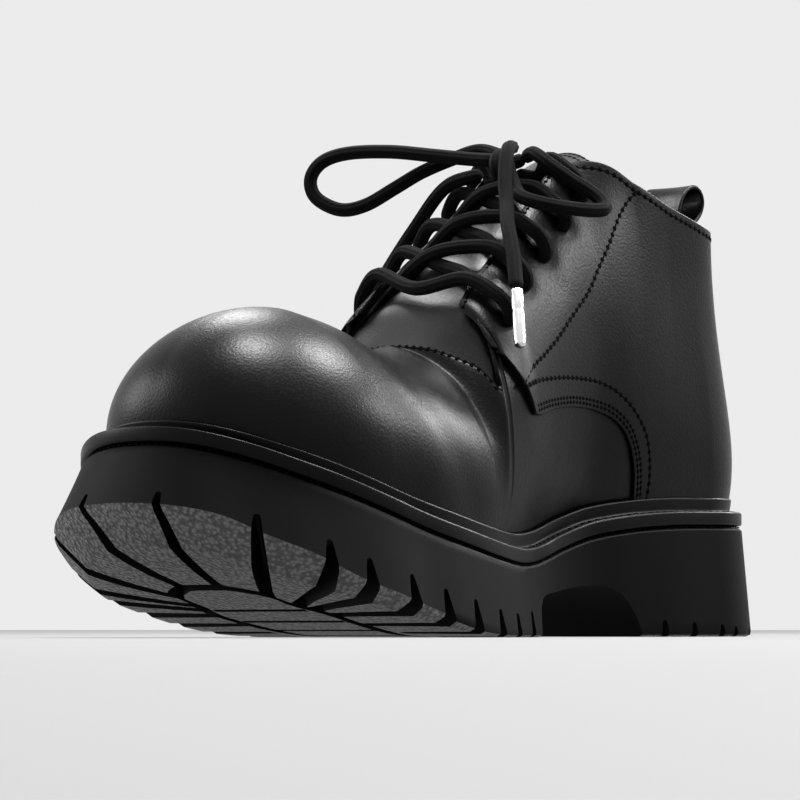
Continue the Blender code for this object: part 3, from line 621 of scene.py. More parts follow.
def turned_plate(name, profiles, places, material):
    """Closed body of rings, top ring first, filled in above and below."""
    rings = [ring(profile, places) for profile in profiles]
    over = [shrunk(rings[0], share, profiles[0]) for share in (0.0, 0.3, 0.6, 0.85)]
    under = [shrunk(rings[-1], share, profiles[-1])
             for share in (0.9, 0.75, 0.6, 0.4, 0.2, 0.0)]
    rows = over + rings + under
    quads = grid_quads(len(rows), len(rings[0]), closed=True)
    return make_piece(name, np.concatenate(rows), quads, material)


def from_lip(points, base=lambda station: 0.0):
    """Profiles from pairs: inset past the base inset, height above the lip's top."""
    return [lambda s, inset=inset, above=above: (base(s) + inset, level("lip", s) + above)
            for inset, above in points]


def rounded_corner(inset, above, radius, start, end, steps=4):
    """Points of an arc of the profile, from one angle to another in quarter turns."""
    turn = np.linspace(start, end, steps + 1) * pi / 2
    return [(inset - radius * np.sin(t), above + radius * np.cos(t)) for t in turn]


# %% [markdown]
# The welt is a strip about 5 mm thick that stands out round the upper, with a bead, the
# rand, turned up against the leather.  Its profile is walked from inside the rand over its
# round top, down to the stitched ledge, out over the lip and under it.  The numbers are
# (inset from the lip's edge or from the ledge's inner side, height above the lip's top).


def make_welt():
    """Welt lip with a groove below it, its ledge and the rand bead."""
    bead = 0.75
    rand = [(RAND_WALL + 2.5, 0.0), (RAND_WALL, 0.0), (RAND_WALL, RAND_HEIGHT - 1.0)]
    rand += rounded_corner(RAND_WALL - bead + 0.15, RAND_HEIGHT - bead, bead, -0.9, 1.2, 8)
    rand += [(0.15, 2.2), (0.35, 1.0), (0.30, 0.35), (-0.1, 0.05), (-0.8, 0.0)]
    lip = rounded_corner(0.9, -0.9, 0.9, 0.0, 1.0) + [(0.0, -2.6)]
    lip += rounded_corner(0.7, -LIP_HEIGHT + 1.2, 0.7, 1.0, 2.0)
    lip += [(1.6, -LIP_HEIGHT + 0.35), (2.2, -LIP_HEIGHT)]
    profiles = from_lip(rand, lambda s: level("ledge", s)) + from_lip(lip)
    return turned_plate("welt", profiles, stepped(0, 44, 1, 110, 2, 60, 3), WELT_RUBBER)


# %% [markdown]
# Below it hangs the sole unit.  Its wall splays out as it falls, and meets the ground faces
# at an edge that climbs with the toe.  A tunnel under the arch parts the heel block from the
# tread.  Tapered notches climb the wall and run in under the sole as grooves between lugs,
# and cross cuts break the middle of the tread into blocks.

ARCH = (
    (84, -3), (84.4, 0), (86.5, 5.5), (89.6, 10.5), (93.5, 14.6), (98.5, 16.9), (106, 17.9),
    (116, 17.3), (130, 15.5), (144.5, 12.8), (148.6, 3), (149, -3),
)
ARCH_HALF = 75.0
# Notches: place along, apex above the tread, length inwards, width below, depth inside.
NOTCHES = (
    (0.13, 3.6, 12, 8, 3),
    (0.40, 3.6, 12, 8, 3),
    (0.66, 3.6, 12, 8, 3),
    (0.90, 4, 13, 9, 3.2),
    (1.006, 4.7, 14, 10, 3.6),
    (1.090, 5.7, 15, 11, 4),
    (1.172, 6.5, 15, 10, 4.4),
    (1.612, 9.6, 20, 8, 5),
    (1.688, 8.6, 22, 9.5, 5.4),
    (1.760, 9.6, 25, 11, 5.6),
    (1.844, 11.5, 29, 12, 5.8),
    (1.929, 12, 31, 12.5, 6),
    (2.020, 13, 33, 13, 6.2),
    (2.175, 14, 34, 13, 6.4),
    (2.310, 16, 34, 12.5, 6.6),
    (2.540, 17, 34, 12, 6.8),
    (2.860, 17.5, 33, 11.5, 6.8),
)
NOTCH_TIP = 1.15
NOTCH_REACH = 12.0
NOTCH_LEAN = 0.14
CUT_BELOW = 14.0
# Ring channel: its middle's station, reach, half width, width, depth, swing and waves.
RING_CHANNEL = (214.0, 52.0, 25.0, 6.5, 6.0, 1.6, 9)
# Cross cuts of the middle: station, half length, width, depth.
CROSS_CUTS = (
    (176, 23, 5.5, 4.6), (192, 23, 5.5, 4.6), (208, 23, 5.5, 4.8), (224, 23, 5.5, 5),
    (240, 21, 5.5, 5.2), (30, 14, 5, 3.2), (44, 15, 5, 3.2), (58, 14, 5, 3.2),
)


def prism(ends):
    """Points and faces of a closed prism between two outlines."""
    count = len(ends[0])
    faces = grid_quads(2, count, closed=True).tolist()
    faces += [list(range(count))[::-1], list(range(count, 2 * count))]
    return np.concatenate(ends), faces


def groove(outer, inner, outer_top, inner_top, width, floor, lean=0.0):
    """Prism with a round top: wide at the floor, narrow above, from outer to inner end.
    The lean moves the floor sideways, so that one wall slopes more than the other."""
    way = unit(inner[:2] - outer[:2])
    across = np.array([-way[1], way[0]])
    turn = np.linspace(0.0, pi, 7)
    half = np.concatenate([[width * (0.5 + lean)], NOTCH_TIP * np.cos(turn),
                           [width * (lean - 0.5)]])
    lift = np.concatenate([[0.0], NOTCH_TIP * np.sin(turn), [0.0]])
    ends = []
    for end, top in ((outer, outer_top), (inner, inner_top)):
        plan = end[:2] + half[:, None] * across
        z = top - NOTCH_TIP + lift
        z[[0, -1]] = floor
        ends.append(np.column_stack([plan, z]))
    return prism(ends)


def notches():
    """Every notch of both sides, its rear wall sloping more than its front wall."""
    shapes = []
    for side in (1, -1):
        for along, apex, length, width, depth in NOTCHES:
            foot = outline(side, np.array([along]), 0.0)[0]
            inward = unit(centre_line(foot[1:2])[0] - foot)
            outer = foot - inward * NOTCH_REACH
            inner = foot + inward * length
            low = float(level("tread", foot[1]))
            inner_low = float(level("tread", inner[1]))
            slope = (apex - depth) / (NOTCH_REACH + length)
            shapes.append(groove(outer, inner, low + apex + 6.0 * slope, inner_low + depth,
                                 width, min(low, inner_low) - CUT_BELOW, side * NOTCH_LEAN))
    return shapes


def cross_cuts():
    """Cuts across the middle, between the two sides of the ring channel."""
    shapes = []
    for station, half, width, depth in CROSS_CUTS:
        low = float(level("tread", station))
        middle = centre_line(np.array([station]))[0, 0]
        ends = [np.array([middle + way * half, station]) for way in (-1, 1)]
        shapes.append(groove(*ends, low + depth, low + depth, width, low - CUT_BELOW))
    return shapes


def cutter(name, shapes):
    """Object of separate closed shapes for a cut, not one of the pieces."""
    base = np.cumsum([0] + [len(points) for points, _ in shapes]).tolist()
    faces = [[start + i for i in face] for start, (_, own) in zip(base, shapes) for face in own]
    mesh = bpy.data.meshes.new(name)
    mesh.from_pydata(world(np.concatenate([points for points, _ in shapes])), [], faces)
    turn_outward(mesh, merge=False)
    return add_object(name, mesh)


def ring_cutter():
    """Channel round the middle blocks: a closed band whose way winds from side to side by
    a sine over the turn, and whose roof follows the tread."""
    station, reach, half, width, depth, swing, waves = RING_CHANNEL
    turn = np.linspace(0.0, 2 * pi, 97)[:-1]

    def blunt(wave):
        return np.sign(wave) * np.abs(wave) ** 0.6

    size = half + swing * np.sin(waves * turn)
    middle = np.stack([size * blunt(np.cos(turn)), station + reach * blunt(np.sin(turn))],
                      axis=1)
    out = unit(middle - np.array([0.0, station]))
    rows = []
    for offset, top in ((width / 2, False), (width * 0.4, True), (-width * 0.4, True),
                        (-width / 2, False)):
        plan = middle + offset * out
        low = level("tread", plan[:, 1])
        z = low + depth if top else low - CUT_BELOW
        rows.append(np.column_stack([centre_line(plan[:, 1])[:, 0] + plan[:, 0], plan[:, 1], z]))
    faces = grid_quads(5, len(turn), closed=True) % (4 * len(turn))
    return cutter("ring_channel", [(np.concatenate(rows), faces.tolist())])


def arch_cutter():
    """Prism that runs right across under the arch, its ceiling a smooth line."""
    line = curve_through(ARCH, 3)
    return cutter("arch", [prism([np.column_stack([0 * line[:, 0] + x, line])
                                  for x in (-ARCH_HALF, ARCH_HALF)])])


def carve(obj, cutters):
    """Cut the cutters out of the piece for good, and take them away."""
    for tool in cutters:
        cut = obj.modifiers.new(tool.name, "BOOLEAN")
        cut.operation = "DIFFERENCE"
        cut.solver = "EXACT"
        cut.object = tool
    bpy.context.view_layer.update()
    carved = bpy.data.meshes.new_from_object(obj.evaluated_get(
        bpy.context.evaluated_depsgraph_get()))
    obj.modifiers.clear()
    obj.data = carved
    for tool in cutters:
        bpy.data.objects.remove(tool, do_unlink=True)


def mark_ground_faces(obj, material):
    """Give the second material to the faces that look down, close above the tread."""
    mesh = obj.data
    mesh.materials.append(material)
    normal, centre = np.zeros((2, len(mesh.polygons) * 3))
    mesh.polygons.foreach_get("normal", normal)
    mesh.polygons.foreach_get("center", centre)
    centre = centre.reshape(-1, 3) / MM
    edge = level("edge", HEEL_CENTRE - centre[:, 1])
    ground = (normal[2::3] < -0.35) & (centre[:, 2] < edge + 1.0)
    mesh.polygons.foreach_set("material_index", ground.astype(np.int32))


def make_outsole():
    """Rubber unit with its wall, toe spring, arch, heel block, notches and blocks."""
    def top(s):
        return level("lip", s) - LIP_HEIGHT - 1.5 * GAP

    def wall(share):
        return lambda s: (-share * level("splay", s),
                          top(s) - 0.9 + share * (level("edge", s) - top(s) + 0.9))

    def bevel(share):
        def profile(s):
            rise = level("edge", s) - level("tread", s)
            return -level("splay", s) + share * (0.8 + 1.5 * rise), level("edge", s) - share * rise
        return profile

    profiles = [lambda s: (1.6, top(s)), lambda s: (0.7, top(s) - 0.2)]
    profiles += [wall(share) for share in np.linspace(0.0, 0.97, 12)]
    profiles += [bevel(share) for share in (0.15, 0.4, 0.7, 1.0)]
    sole = turned_plate("sole", profiles, stepped(0, 36, 1, 90, 2, 48, 3), RUBBER)
    carve(sole, [arch_cutter(), cutter("notches", notches()), ring_cutter(),
                 cutter("cross_cuts", cross_cuts())])
    mark_ground_faces(sole, TREAD)
    sole.data.set_sharp_from_angle(angle=0.6)
    return sole


def make_insole():
    """Sock of lining leather that the foot stands on."""
    low = 2 * GAP
    profiles = from_lip(((1.0, low + 3.0), (0.3, low + 2.8), (0.0, low + 2.3), (0.0, low)),
                        lambda s: feather_inset(s) + 3.0)
    return turned_plate("sock", profiles, stepped(0, 24, 1, 60, 2, 30, 3), LINING)


WELT = make_welt()
SOLE = make_outsole()
SOCK = make_insole()
for piece in PIECES:
    print(piece.name, len(piece.data.polygons), "faces")

# %% Form of the upper
# %% [markdown]
# Leather is pulled down over a last and tacked under it, so its form is a set of smooth
# curves rising from the feather, the line where it meets the sole, to its upper rim.  Each
# column is one cubic: it leaves the feather by a bulge and a rise, and comes to the rim by a
# reach from outside and a drop from below.  The table follows the rim along the collar, the
# throat beside the laces, the vamp's edge on the tongue, the ridge and the toe.

UPPER_COLUMNS = ("along", "rim_half", "rim_station", "rim_height",
                 "bulge_medial", "bulge_lateral", "rise", "reach", "drop")
RIM = (
    (0, 0, 21, 146, 3.5, 3.5, 26, 0.5, 48),
    (0.5, 21.5, 29, 147, 4.5, 4.5, 26, 0, 48),
    (1, 31, 50, 151, 7, 5.5, 28, 0, 46),
    (1.114, 31, 63, 154.5, 9, 6, 30, 0.5, 46),
    (1.228, 29, 79, 161, 12.5, 6, 32, 3, 40),
    (1.311, 21.5, 94, 168, 15, 5, 34, 10, 22),
    (1.352, 13.5, 105, 167, 17, 5, 36, 17, 8),
    (1.404, 14.5, 118, 154.5, 17.5, 5, 36, 18, 6),
    (1.466, 16, 130, 143, 17, 5, 35, 19, 6),
    (1.544, 18.5, 146, 129.5, 14.5, 5, 33, 20, 6),
    (1.606, 20.5, 157, 120, 12, 5, 33, 20, 6),
    (1.648, 22, 165, 111.5, 10.5, 5, 33, 18, 4),
    (1.651, 30.2, 165.6, 105, 8.4, 4.4, 28, 12, 9),
    (1.655, 35.7, 166.2, 98, 6.6, 3.9, 21.5, 9.5, 13.5),
    (1.659, 39.5, 166.8, 91, 5.9, 3.7, 18.5, 6.6, 14.5),
    (1.662, 41.4, 167.2, 86.5, 5.7, 3.6, 17.5, 5, 13),
    (1.680, 33, 171.5, 91.5, 6.2, 4.4, 19, 15.5, 11.5),
    (1.695, 18, 175.3, 97, 8, 5.2, 25, 22, 5),
    (1.710, 0, 177.5, 99, 9, 5.6, 30, 32, 0),
    (1.777, 0, 190, 95.8, 8, 6, 31, 31, 0),
    (1.855, 0, 207, 99, 7.5, 6, 32, 30, 0),
    (1.933, 0, 224, 105, 7, 5, 32, 30, 0),
    (2, 0, 240, 108, 6.5, 4.5, 31, 30, 0),
    (2.5, 0, 240, 108, 4.5, 2, 26, 28, 0),
    (3, 0, 240, 108, 2.5, 2.5, 22, 27, 0),
)
# Where those five parts begin and end, and the rim may turn a corner.
RIM_CORNERS = (0.0, 1.352, 1.648, 1.710, 2.0, 3.0)
RIM_PARTS = [[row for row in RIM if start <= row[0] <= end]
             for start, end in zip(RIM_CORNERS, RIM_CORNERS[1:])]
RIM_MIDDLE = -1.0
LATERAL_REACH = 0.78
TOE_REACH = 0.9
# Easing beside the throat's corner: its middle, how far it is felt, the reach of the means.
EASE = (1.706, 0.044, 0.05)
# Lower edge of the quarter, which laps over the vamp, as (place along, height).
LAP_EDGE = (
    (1.214, 47), (1.231, 57.3), (1.249, 64.9), (1.273, 71.2), (1.308, 75.8), (1.350, 78.2),
    (1.424, 79), (1.500, 77.4), (1.562, 74.8), (1.577, 75.2), (1.595, 80), (1.613, 85.3),
    (1.630, 89.6), (1.645, 93.4), (1.656, 97),
)
LAP = 1.2
FINE_SHARES = np.linspace(0.0, 1.0, 129)


def rim_value(name, along):
    """Value of the rim's table: smooth along each part, free to bend at the corners."""
    k = UPPER_COLUMNS.index(name)
    value = smooth(RIM_PARTS[0], k, along)
    for part in RIM_PARTS[1:]:
        value = np.where(along > part[0][0], smooth(part, k, along), value)
    return value


def own_controls(side, along):
    """Four control points (x, station, z) of each column, from the tables alone."""
    plan = inset_outline(side, along, feather_inset)
    middle = centre_line(plan[:, 1])
    outward = unit(np.column_stack([plan - middle, 0.0 * plan[:, 0]]))
    foot = np.column_stack([plan, level("lip", plan[:, 1]) + RAND_HEIGHT + 0.2])
    rim = np.stack([RIM_MIDDLE + side * rim_value("rim_half", along),
                    rim_value("rim_station", along), rim_value("rim_height", along)], axis=1)
    up = np.array([0.0, 0.0, 1.0])
    bulge = rim_value("bulge_medial" if side > 0 else "bulge_lateral", along)[:, None]
    round_toe = np.clip(along - 2.0, 0.0, 1.0)
    full = 1.0 if side > 0 else LATERAL_REACH
    reach = (rim_value("reach", along) * (full + (TOE_REACH - full) * round_toe))[:, None]
    lower = foot + outward * bulge + up * rim_value("rise", along)[:, None]
    upper = rim + outward * reach - up * rim_value("drop", along)[:, None]
    return foot, lower, upper, rim


def controls(side, along):
    """Control points of each column.  Beside the throat's corner the two middle ones are
    means over their neighbours, so that the leather below the corner stays even."""
    foot, _, _, rim = own_controls(side, along)
    middle, width, reach = EASE
    near = np.exp(-((along - middle) / width) ** 4)
    shifts = np.linspace(-0.9, 0.9, 9)
    weights = (1.0 - shifts ** 2) / np.sum(1.0 - shifts ** 2)
    means = [w * np.stack(own_controls(side, along + reach * shift * near)[1:3])
             for w, shift in zip(weights, shifts)]
    lower, upper = np.sum(means, axis=0)
    return foot, lower, upper, rim


def columns_at(side, along, shares):
    """Points of cubic columns; shares is places by rows, 0 at the feather and 1 at the
    rim.  The cubic is (1-t)^3, 3(1-t)^2 t, 3(1-t)t^2 and t^3 of its control points."""
    foot, lower, upper, rim = (c[:, None, :] for c in controls(side, along))
    t = shares[..., None]
    return ((1 - t)**3 * foot + 3 * (1 - t)**2 * t * lower
            + 3 * (1 - t) * t**2 * upper + t**3 * rim)


def column_lengths(side, along, shares):
    """Length along each column up to its shares."""
    step = np.linalg.norm(np.diff(columns_at(side, along, shares), axis=1), axis=2)
    return np.concatenate([np.zeros((len(along), 1)), np.cumsum(step, axis=1)], axis=1)


def share_where(values, wanted):
    """Share of each column at which its values, given at the fine shares, reach one."""
    return np.array([np.interp(w, own, FINE_SHARES) for w, own in zip(wanted, values)])


def share_at_height(side, along, height):
    """Share of each column at which it reaches the height."""
    return share_where(columns_at(side, along, FINE_SHARES[None])[..., 2], height)


def share_below_rim(side, along, depth):
    """Share of each column at a depth in millimetres below its rim."""
    length = column_lengths(side, along, FINE_SHARES[None])
    return share_where(length, length[:, -1] - depth)


def lap_share(side, along):
    """Share of each column at the quarter's lower edge, 0 where it reaches the sole."""
    share = share_at_height(side, along, smooth(LAP_EDGE, 1, along))
    return np.where(along < LAP_EDGE[0][0], 0.0, share)


def even_rows(side, along, low, high, count, radius):
    """Shares of rows evenly spaced in millimetres between low and high, with a cluster
    inside the radius at both ends where the edges are rounded."""
    fine = np.linspace(0.0, 1.0, 65)
    shares = low[:, None] + (high - low)[:, None] * fine
    length = column_lengths(side, along, shares)
    total = length[:, -1:]
    edge = np.minimum(radius, 0.48 * total) * (1 - np.cos(np.linspace(0, pi / 2, 6)))
    middle = np.linspace(0.0, 1.0, count + 1)[1:-1]
    inner = edge[:, -1:] + (total - 2 * edge[:, -1:]) * middle
    at = np.concatenate([edge, inner, total - edge[:, ::-1]], axis=1)
    rows = [np.interp(a, l, s) for a, l, s in zip(at, length, shares)]
    return np.array(rows), at, total - at


def both_sides(along, low, high, count, radius):
    """One grid from the lateral columns round to the medial ones, between the shares
    low(side, along) and high(side, along): the places of its columns, then rows by columns
    of points, with the distance of each from the lower and the upper edge."""
    parts = []
    for side in (-1, 1):
        ends = [limit(side, along) + 0 * along for limit in (low, high)]
        shares, from_low, from_high = even_rows(side, along, *ends, count, radius)
        points = columns_at(side, along, shares)
        order = slice(None, None, -1) if side < 0 else slice(1, None)
        parts.append([np.swapaxes(v[order], 0, 1) for v in (points, from_low, from_high)])
    return [np.concatenate([along[::-1], along[1:]])] + [
        np.concatenate([a, b], axis=1) for a, b in zip(*parts)]


def skirted(surface, *fields, where=True):
    """The grid with one more row below its first: straight down to just above the lip,
    where that is wanted.  The other fields repeat their first row."""
    below = surface[:1].copy()
    floor = level("lip", below[..., 1]) + 2 * GAP
    below[..., 2] = np.where(where, floor, below[..., 2])
    return [np.concatenate([below, surface])] + [np.concatenate([f[:1], f]) for f in fields]


# %% [markdown]
# Main creases are listed as soft troughs: where the toe's bulb rolls over into the flexing
# vamp, and the shallow pulls between the lowest eyelets and the waist.  Each is a line over
# the surface, given as (side, place along, share), with a depth and a width.

CREASES = (
    (((1, 1.785, 0.04), (1, 1.815, 0.14), (1, 1.845, 0.26), (1, 1.868, 0.40),
      (1, 1.885, 0.54), (1, 1.890, 0.70), (1, 1.875, 0.86), (1, 1.850, 1.0),
      (-1, 1.860, 0.85), (-1, 1.860, 0.6), (-1, 1.840, 0.35), (-1, 1.81, 0.12)), 0.45, 8.0),
    (((1, 1.74, 0.70), (1, 1.70, 0.50), (1, 1.64, 0.30), (1, 1.56, 0.16)), 0.2, 11.0),
    (((1, 1.60, 0.55), (1, 1.52, 0.60), (1, 1.46, 0.66)), 0.4, 7.0),
)


def on_upper(side, along, share):
    """Single point of the upper's form."""
    return columns_at(side, np.array([along]), np.array([[share]]))[0, 0]


def creased(points, normal, lines):
    """Points sunk along the normal by depth times exp(-(distance / width)^2)."""
    for line, depth, width in lines:
        fall = np.exp(-(line_distance(points, line) / width) ** 2)
        points = points - normal * (depth * fall)[..., None]
    return points


# Each crease as a fine line of points with its depth and width.
CREASE_LINES = [
    (spaced(curve_through([on_upper(*mark) for mark in marks], 6), 3.0), depth, width)
    for marks, depth, width in CREASES]
print("creases:", len(CREASE_LINES))

# %% Upper
# %% [markdown]
# The vamp covers the front of the foot.  It runs under the quarters at the sides, ends on
# the tongue in a stitched edge, and closes over the toe, where all of its columns meet in
# one pole.  Its edge on the tongue is rounded by the distance to that edge.

EDGE = 0.8
VAMP_LAP = 0.07
# Where the vamp comes out from under the quarters, and its edge on the tongue, as places.
VAMP_OUT = (1.6522, 1.6548)
VAMP_EDGE = (1.655, 1.7101)


def make_vamp():
    """Front of the upper, from under the quarters round the toe.  Its columns stand close
    together beside the throat's corner."""
    def high(side, places):
        rise = np.interp(places, VAMP_OUT, (0.0, 1.0))
        return np.maximum(np.minimum(lap_share(side, places) + VAMP_LAP, 1.0), rise)

    along = stepped(1.2, 70, 1.64, 30, 1.662, 40, 1.71, 6, 1.716, 60, 2.0, 72, 3.0)[::-1]
    places, surface, _, _ = both_sides(along, lambda side, places: 0.0, high, 62, EDGE)
    normal = grid_normals(surface, -1.0)
    edge = surface[-1, (places >= VAMP_EDGE[0]) & (places <= VAMP_EDGE[1])]
    thick = rounded(line_distance(surface, edge), EDGE)
    surface = creased(surface, normal, CREASE_LINES)
    surface, normal, thick = skirted(surface, normal, thick)
    return slab("vamp", surface - normal * EDGE, normal, EDGE * thick, EDGE * thick, LEATHER)


# %% [markdown]
# The quarters wrap the heel and meet over the instep.  They are cut from a thicker skin, and
# lie on the vamp with a cut edge that the light catches, thickest at the lower front corners
# where the pull of the laces ends.  Round each eyelet the leather is pressed in a little.

# Eyelets from the lowest up: place along on the medial and the lateral side, share.
EYELETS = (
    (1.603, 1.578, 0.70), (1.524, 1.518, 0.745), (1.457, 1.457, 0.75), (1.391, 1.391, 0.755),
    (1.345, 1.345, 0.79),
)
CUT_EDGE = 0.55
DIMPLE_RADIUS = 4.2
QUARTER_TOP = 0.996
QUARTER_BASE = -0.35
LINING_FRONT = 1.6475
LINING_EDGE = 0.7
LINING_MIDDLE = 1.25
LINING_HALF = 0.65
QUARTER_PLACES = stepped(0.0, 60, 1.0, 30, 1.21, 24, 1.24, 24, 1.36, 50, 1.6, 20,
                         1.648, 34, 1.6548)


def eyelet(side, row):
    """Place along and share of one eyelet."""
    medial, lateral, share = EYELETS[row]
    return (medial if side > 0 else lateral), share


def dimpled(points, normal):
    """Points pressed in by a soft hollow, a millimetre deep, round every eyelet."""
    for side in (1, -1):
        for row in range(len(EYELETS)):
            centre = on_upper(side, *eyelet(side, row))
            distance = np.linalg.norm(points - centre, axis=-1)
            points = points - normal * np.exp(-(distance / DIMPLE_RADIUS) ** 2)[..., None]
    return points


def proud(along):
    """Height of the quarter's face above the vamp: more towards the front corner."""
    share = np.clip((along - 1.56) / 0.05, 0.0, 1.0)
    return LAP + 1.2 * share * share * (3 - 2 * share)


def make_quarters():
    """Sides and back of the upper in one skin."""
    places, surface, from_low, from_high = both_sides(
        QUARTER_PLACES, lap_share, lambda side, along: QUARTER_TOP, 74, CUT_EDGE)
    normal = grid_normals(surface)
    from_end = np.minimum(np.arange(len(places)), np.arange(len(places))[::-1])
    is_lap = (places > LAP_EDGE[0][0])[None, :]
    low = np.where(is_lap, rounded(from_low, CUT_EDGE), 1.0)
    thick = rounded(from_high, CUT_EDGE) * low * rounded(from_end, 2.5)
    surface = creased(dimpled(surface, normal), normal, CREASE_LINES[1:])
    surface, normal, thick = skirted(surface, normal, thick, where=~is_lap)
    top = proud(places)[None, :]
    middle = surface + normal * ((top + QUARTER_BASE) / 2)[..., None]
    half = (top - QUARTER_BASE) / 2 * thick
    return slab("quarters", middle, normal, half, half, LEATHER)


# %% [markdown]
# Behind them the lining follows the same form, a little longer at the rim, so collar and
# facings show two layers: the cut edge of the leather and the folded edge of the lining.


def make_lining():
    """Inner skin of the quarters, from the rim down to the sock."""
    def low(side, along):
        return np.clip((along - 1.30) / 0.1, 0.0, 1.0) * (lap_share(side, along) + 0.02)

    along = QUARTER_PLACES[QUARTER_PLACES < LINING_FRONT][::2]
    places, surface, _, from_high = both_sides(along, low, lambda side, along: 1.0, 48,
                                               LINING_EDGE)
    normal = grid_normals(surface)
    surface, normal, thick = skirted(surface, normal, rounded(from_high, LINING_EDGE),
                                     where=(places < 1.30)[None, :])
    half = LINING_HALF * thick
    return slab("quarter_lining", surface - normal * LINING_MIDDLE, normal, half, half, LINING)


VAMP = make_vamp()
QUARTERS = make_quarters()
QUARTER_LINING = make_lining()
for piece in (VAMP, QUARTERS, QUARTER_LINING):
    print(piece.name, len(piece.data.polygons), "faces")

# %% Tongue
# %% [markdown]
# The tongue bridges the throat under the laces.  It is a strip whose middle follows the
# instep and whose edges drop away by a power of the share of its half width.  Both faces
# meet at a rounded edge.

TONGUE_COLUMNS = ("station", "crown", "half", "drop_medial", "drop_lateral", "power")
TONGUE = (
    (84, 174, 7, 1, 1, 2.2),
    (86, 173.3, 13.5, 4, 4, 2.2),
    (90, 172, 18.5, 9, 9, 2.2),
    (96, 169.6, 21.3, 14, 13.5, 2.2),
    (105, 164.6, 23, 18, 18, 2.2),
    (118, 154.8, 24.8, 20, 20, 2.2),
    (130, 144.2, 26.2, 20, 20, 2.3),
    (142, 133.2, 27.8, 19.5, 19.5, 2.5),
    (150, 126, 29.6, 19.5, 19.5, 2.9),
    (158, 118.3, 32.8, 16.5, 16, 3.4),
    (165, 110.4, 39.2, 26.8, 22.2, 4),
    (170.5, 100.7, 40.8, 27.3, 23.2, 3),
    (176, 93.4, 39, 25.5, 23.5, 2.9),
    (182, 91.6, 36.5, 22, 20.5, 2.6),
    (190, 90.9, 33.5, 16, 15, 2.4),
)
TONGUE_HALF = 1.1


def tongue_value(name, station):
    """Value of the tongue's table at a station."""
    return smooth(TONGUE, TONGUE_COLUMNS.index(name), station)


def tongue_face(x, station):
    """Points of the tongue's upper face over x and station."""
    crown, half, medial, lateral, power = (tongue_value(name, station)
                                           for name in TONGUE_COLUMNS[1:])
    z = crown - np.where(x > 0, medial, lateral) * np.abs(x / half) ** power
    return np.stack([x + 0 * station, station + 0 * x, z], axis=-1)


def tongue_point(x, station, above):
    """Point above the tongue's face, along its normal."""
    nearby = tongue_face(np.array([x, x + 0.5, x]), np.array([station, station, station + 0.5]))
    normal = unit(np.cross(nearby[1] - nearby[0], nearby[2] - nearby[0]))
    return nearby[0] + above * normal


def make_tongue():
    """Tongue of the upper's leather, lined, with a rounded top."""
    start, end = TONGUE[0][0], TONGUE[-1][0]
    near = start + 4.0 * (1 - np.cos(np.linspace(0, pi / 2, 14)))
    station = np.concatenate([near, np.linspace(near[-1], end, 90)[1:]])[:, None]
    share = np.sin(np.linspace(-pi / 2, pi / 2, 61))[None, :]
    surface = tongue_face(share * tongue_value("half", station), station)
    normal = grid_normals(surface)
    thick = np.sqrt(1 - np.abs(share) ** 24) * rounded(station - start, TONGUE_HALF)
    half = TONGUE_HALF * thick
    return slab("tongue_strip", surface - normal * TONGUE_HALF, normal, half, half,
                TONGUE_LEATHER)


# %% Pull loop
# %% [markdown]
# A strap of leather is folded over and sewn inside the back of the collar.  Its middle is a
# closed teardrop, and its section is a flat strip with round edges that follows the curve of
# the heel.

LOOP_WIDTH = 21.0
LOOP_THICK = 1.6
LOOP_CURVE = 0.0175
LOOP_PROFILE = (
    (24.6, 149.5), (22.6, 150.8), (18.5, 152.6), (14, 156.5), (12.3, 161.5), (14.6, 165.6),
    (19, 166.2), (23.6, 163.2), (26.8, 157), (26.6, 151.5),
)
LOOP_TAIL = (25.3, 118.0, 150.2)


def strap_section(width, thick):
    """Closed outline of a flat strip with round edges, as (across, out) pairs."""
    turn = np.linspace(-pi / 2, pi / 2, 11)
    right = np.stack([width / 2 - thick / 2 + thick / 2 * np.cos(turn),
                      thick / 2 * np.sin(turn)], axis=1)
    flat = np.linspace(1.0, -1.0, 13)[1:-1] * (width / 2 - thick / 2)
    top = np.stack([flat, 0 * flat + thick / 2], axis=1)
    return np.concatenate([right, top, -right, -top])


def strap_points(line, section):
    """Grid of a strap: the section's outer part lies along the line's normal."""
    ahead = unit(np.gradient(line, axis=0))
    out = np.stack([ahead[:, 1], -ahead[:, 0]], axis=1)
    plan = line[:, None, :] + section[None, :, 1:] * out[:, None, :]
    x = section[None, :, 0] + 0 * plan[..., 0]
    return np.stack([RIM_MIDDLE + x, plan[..., 0] + LOOP_CURVE * x * x, plan[..., 1]], axis=-1)


def make_pull_loop():
    """Folded strap and its tail inside the collar."""
    line = curve_through(LOOP_PROFILE + LOOP_PROFILE[:3], 8)[8:-8]
    section = strap_section(LOOP_WIDTH, LOOP_THICK)
    points = strap_points(line, section)
    points[-1] = points[0]
    ring_faces = grid_quads(*points.shape[:2], closed=True)
    station, low, high = LOOP_TAIL
    z = np.linspace(low, high, 20)
    tail = strap_points(np.stack([np.full(20, station), z], axis=1),
                        strap_section(LOOP_WIDTH - 0.4, 2 * LOOP_THICK))
    tail_faces = grid_quads(*tail.shape[:2], closed=True) + points.shape[0] * points.shape[1]
    both = np.concatenate([points.reshape(-1, 3), tail.reshape(-1, 3)])
    return make_piece("heel_loop", both, np.concatenate([ring_faces, tail_faces]), LOOP_LEATHER)


TONGUE_STRIP = make_tongue()
HEEL_LOOP = make_pull_loop()
print("tongue and pull loop made")

# %% Lace
# %% [markdown]
# The lace is a round braid 5 mm thick whose cover lies in eight long flutes.  A tube follows
# each route: its frame is carried along without twisting, and its radius dips between the
# flutes.  Both ends close in half a sphere.

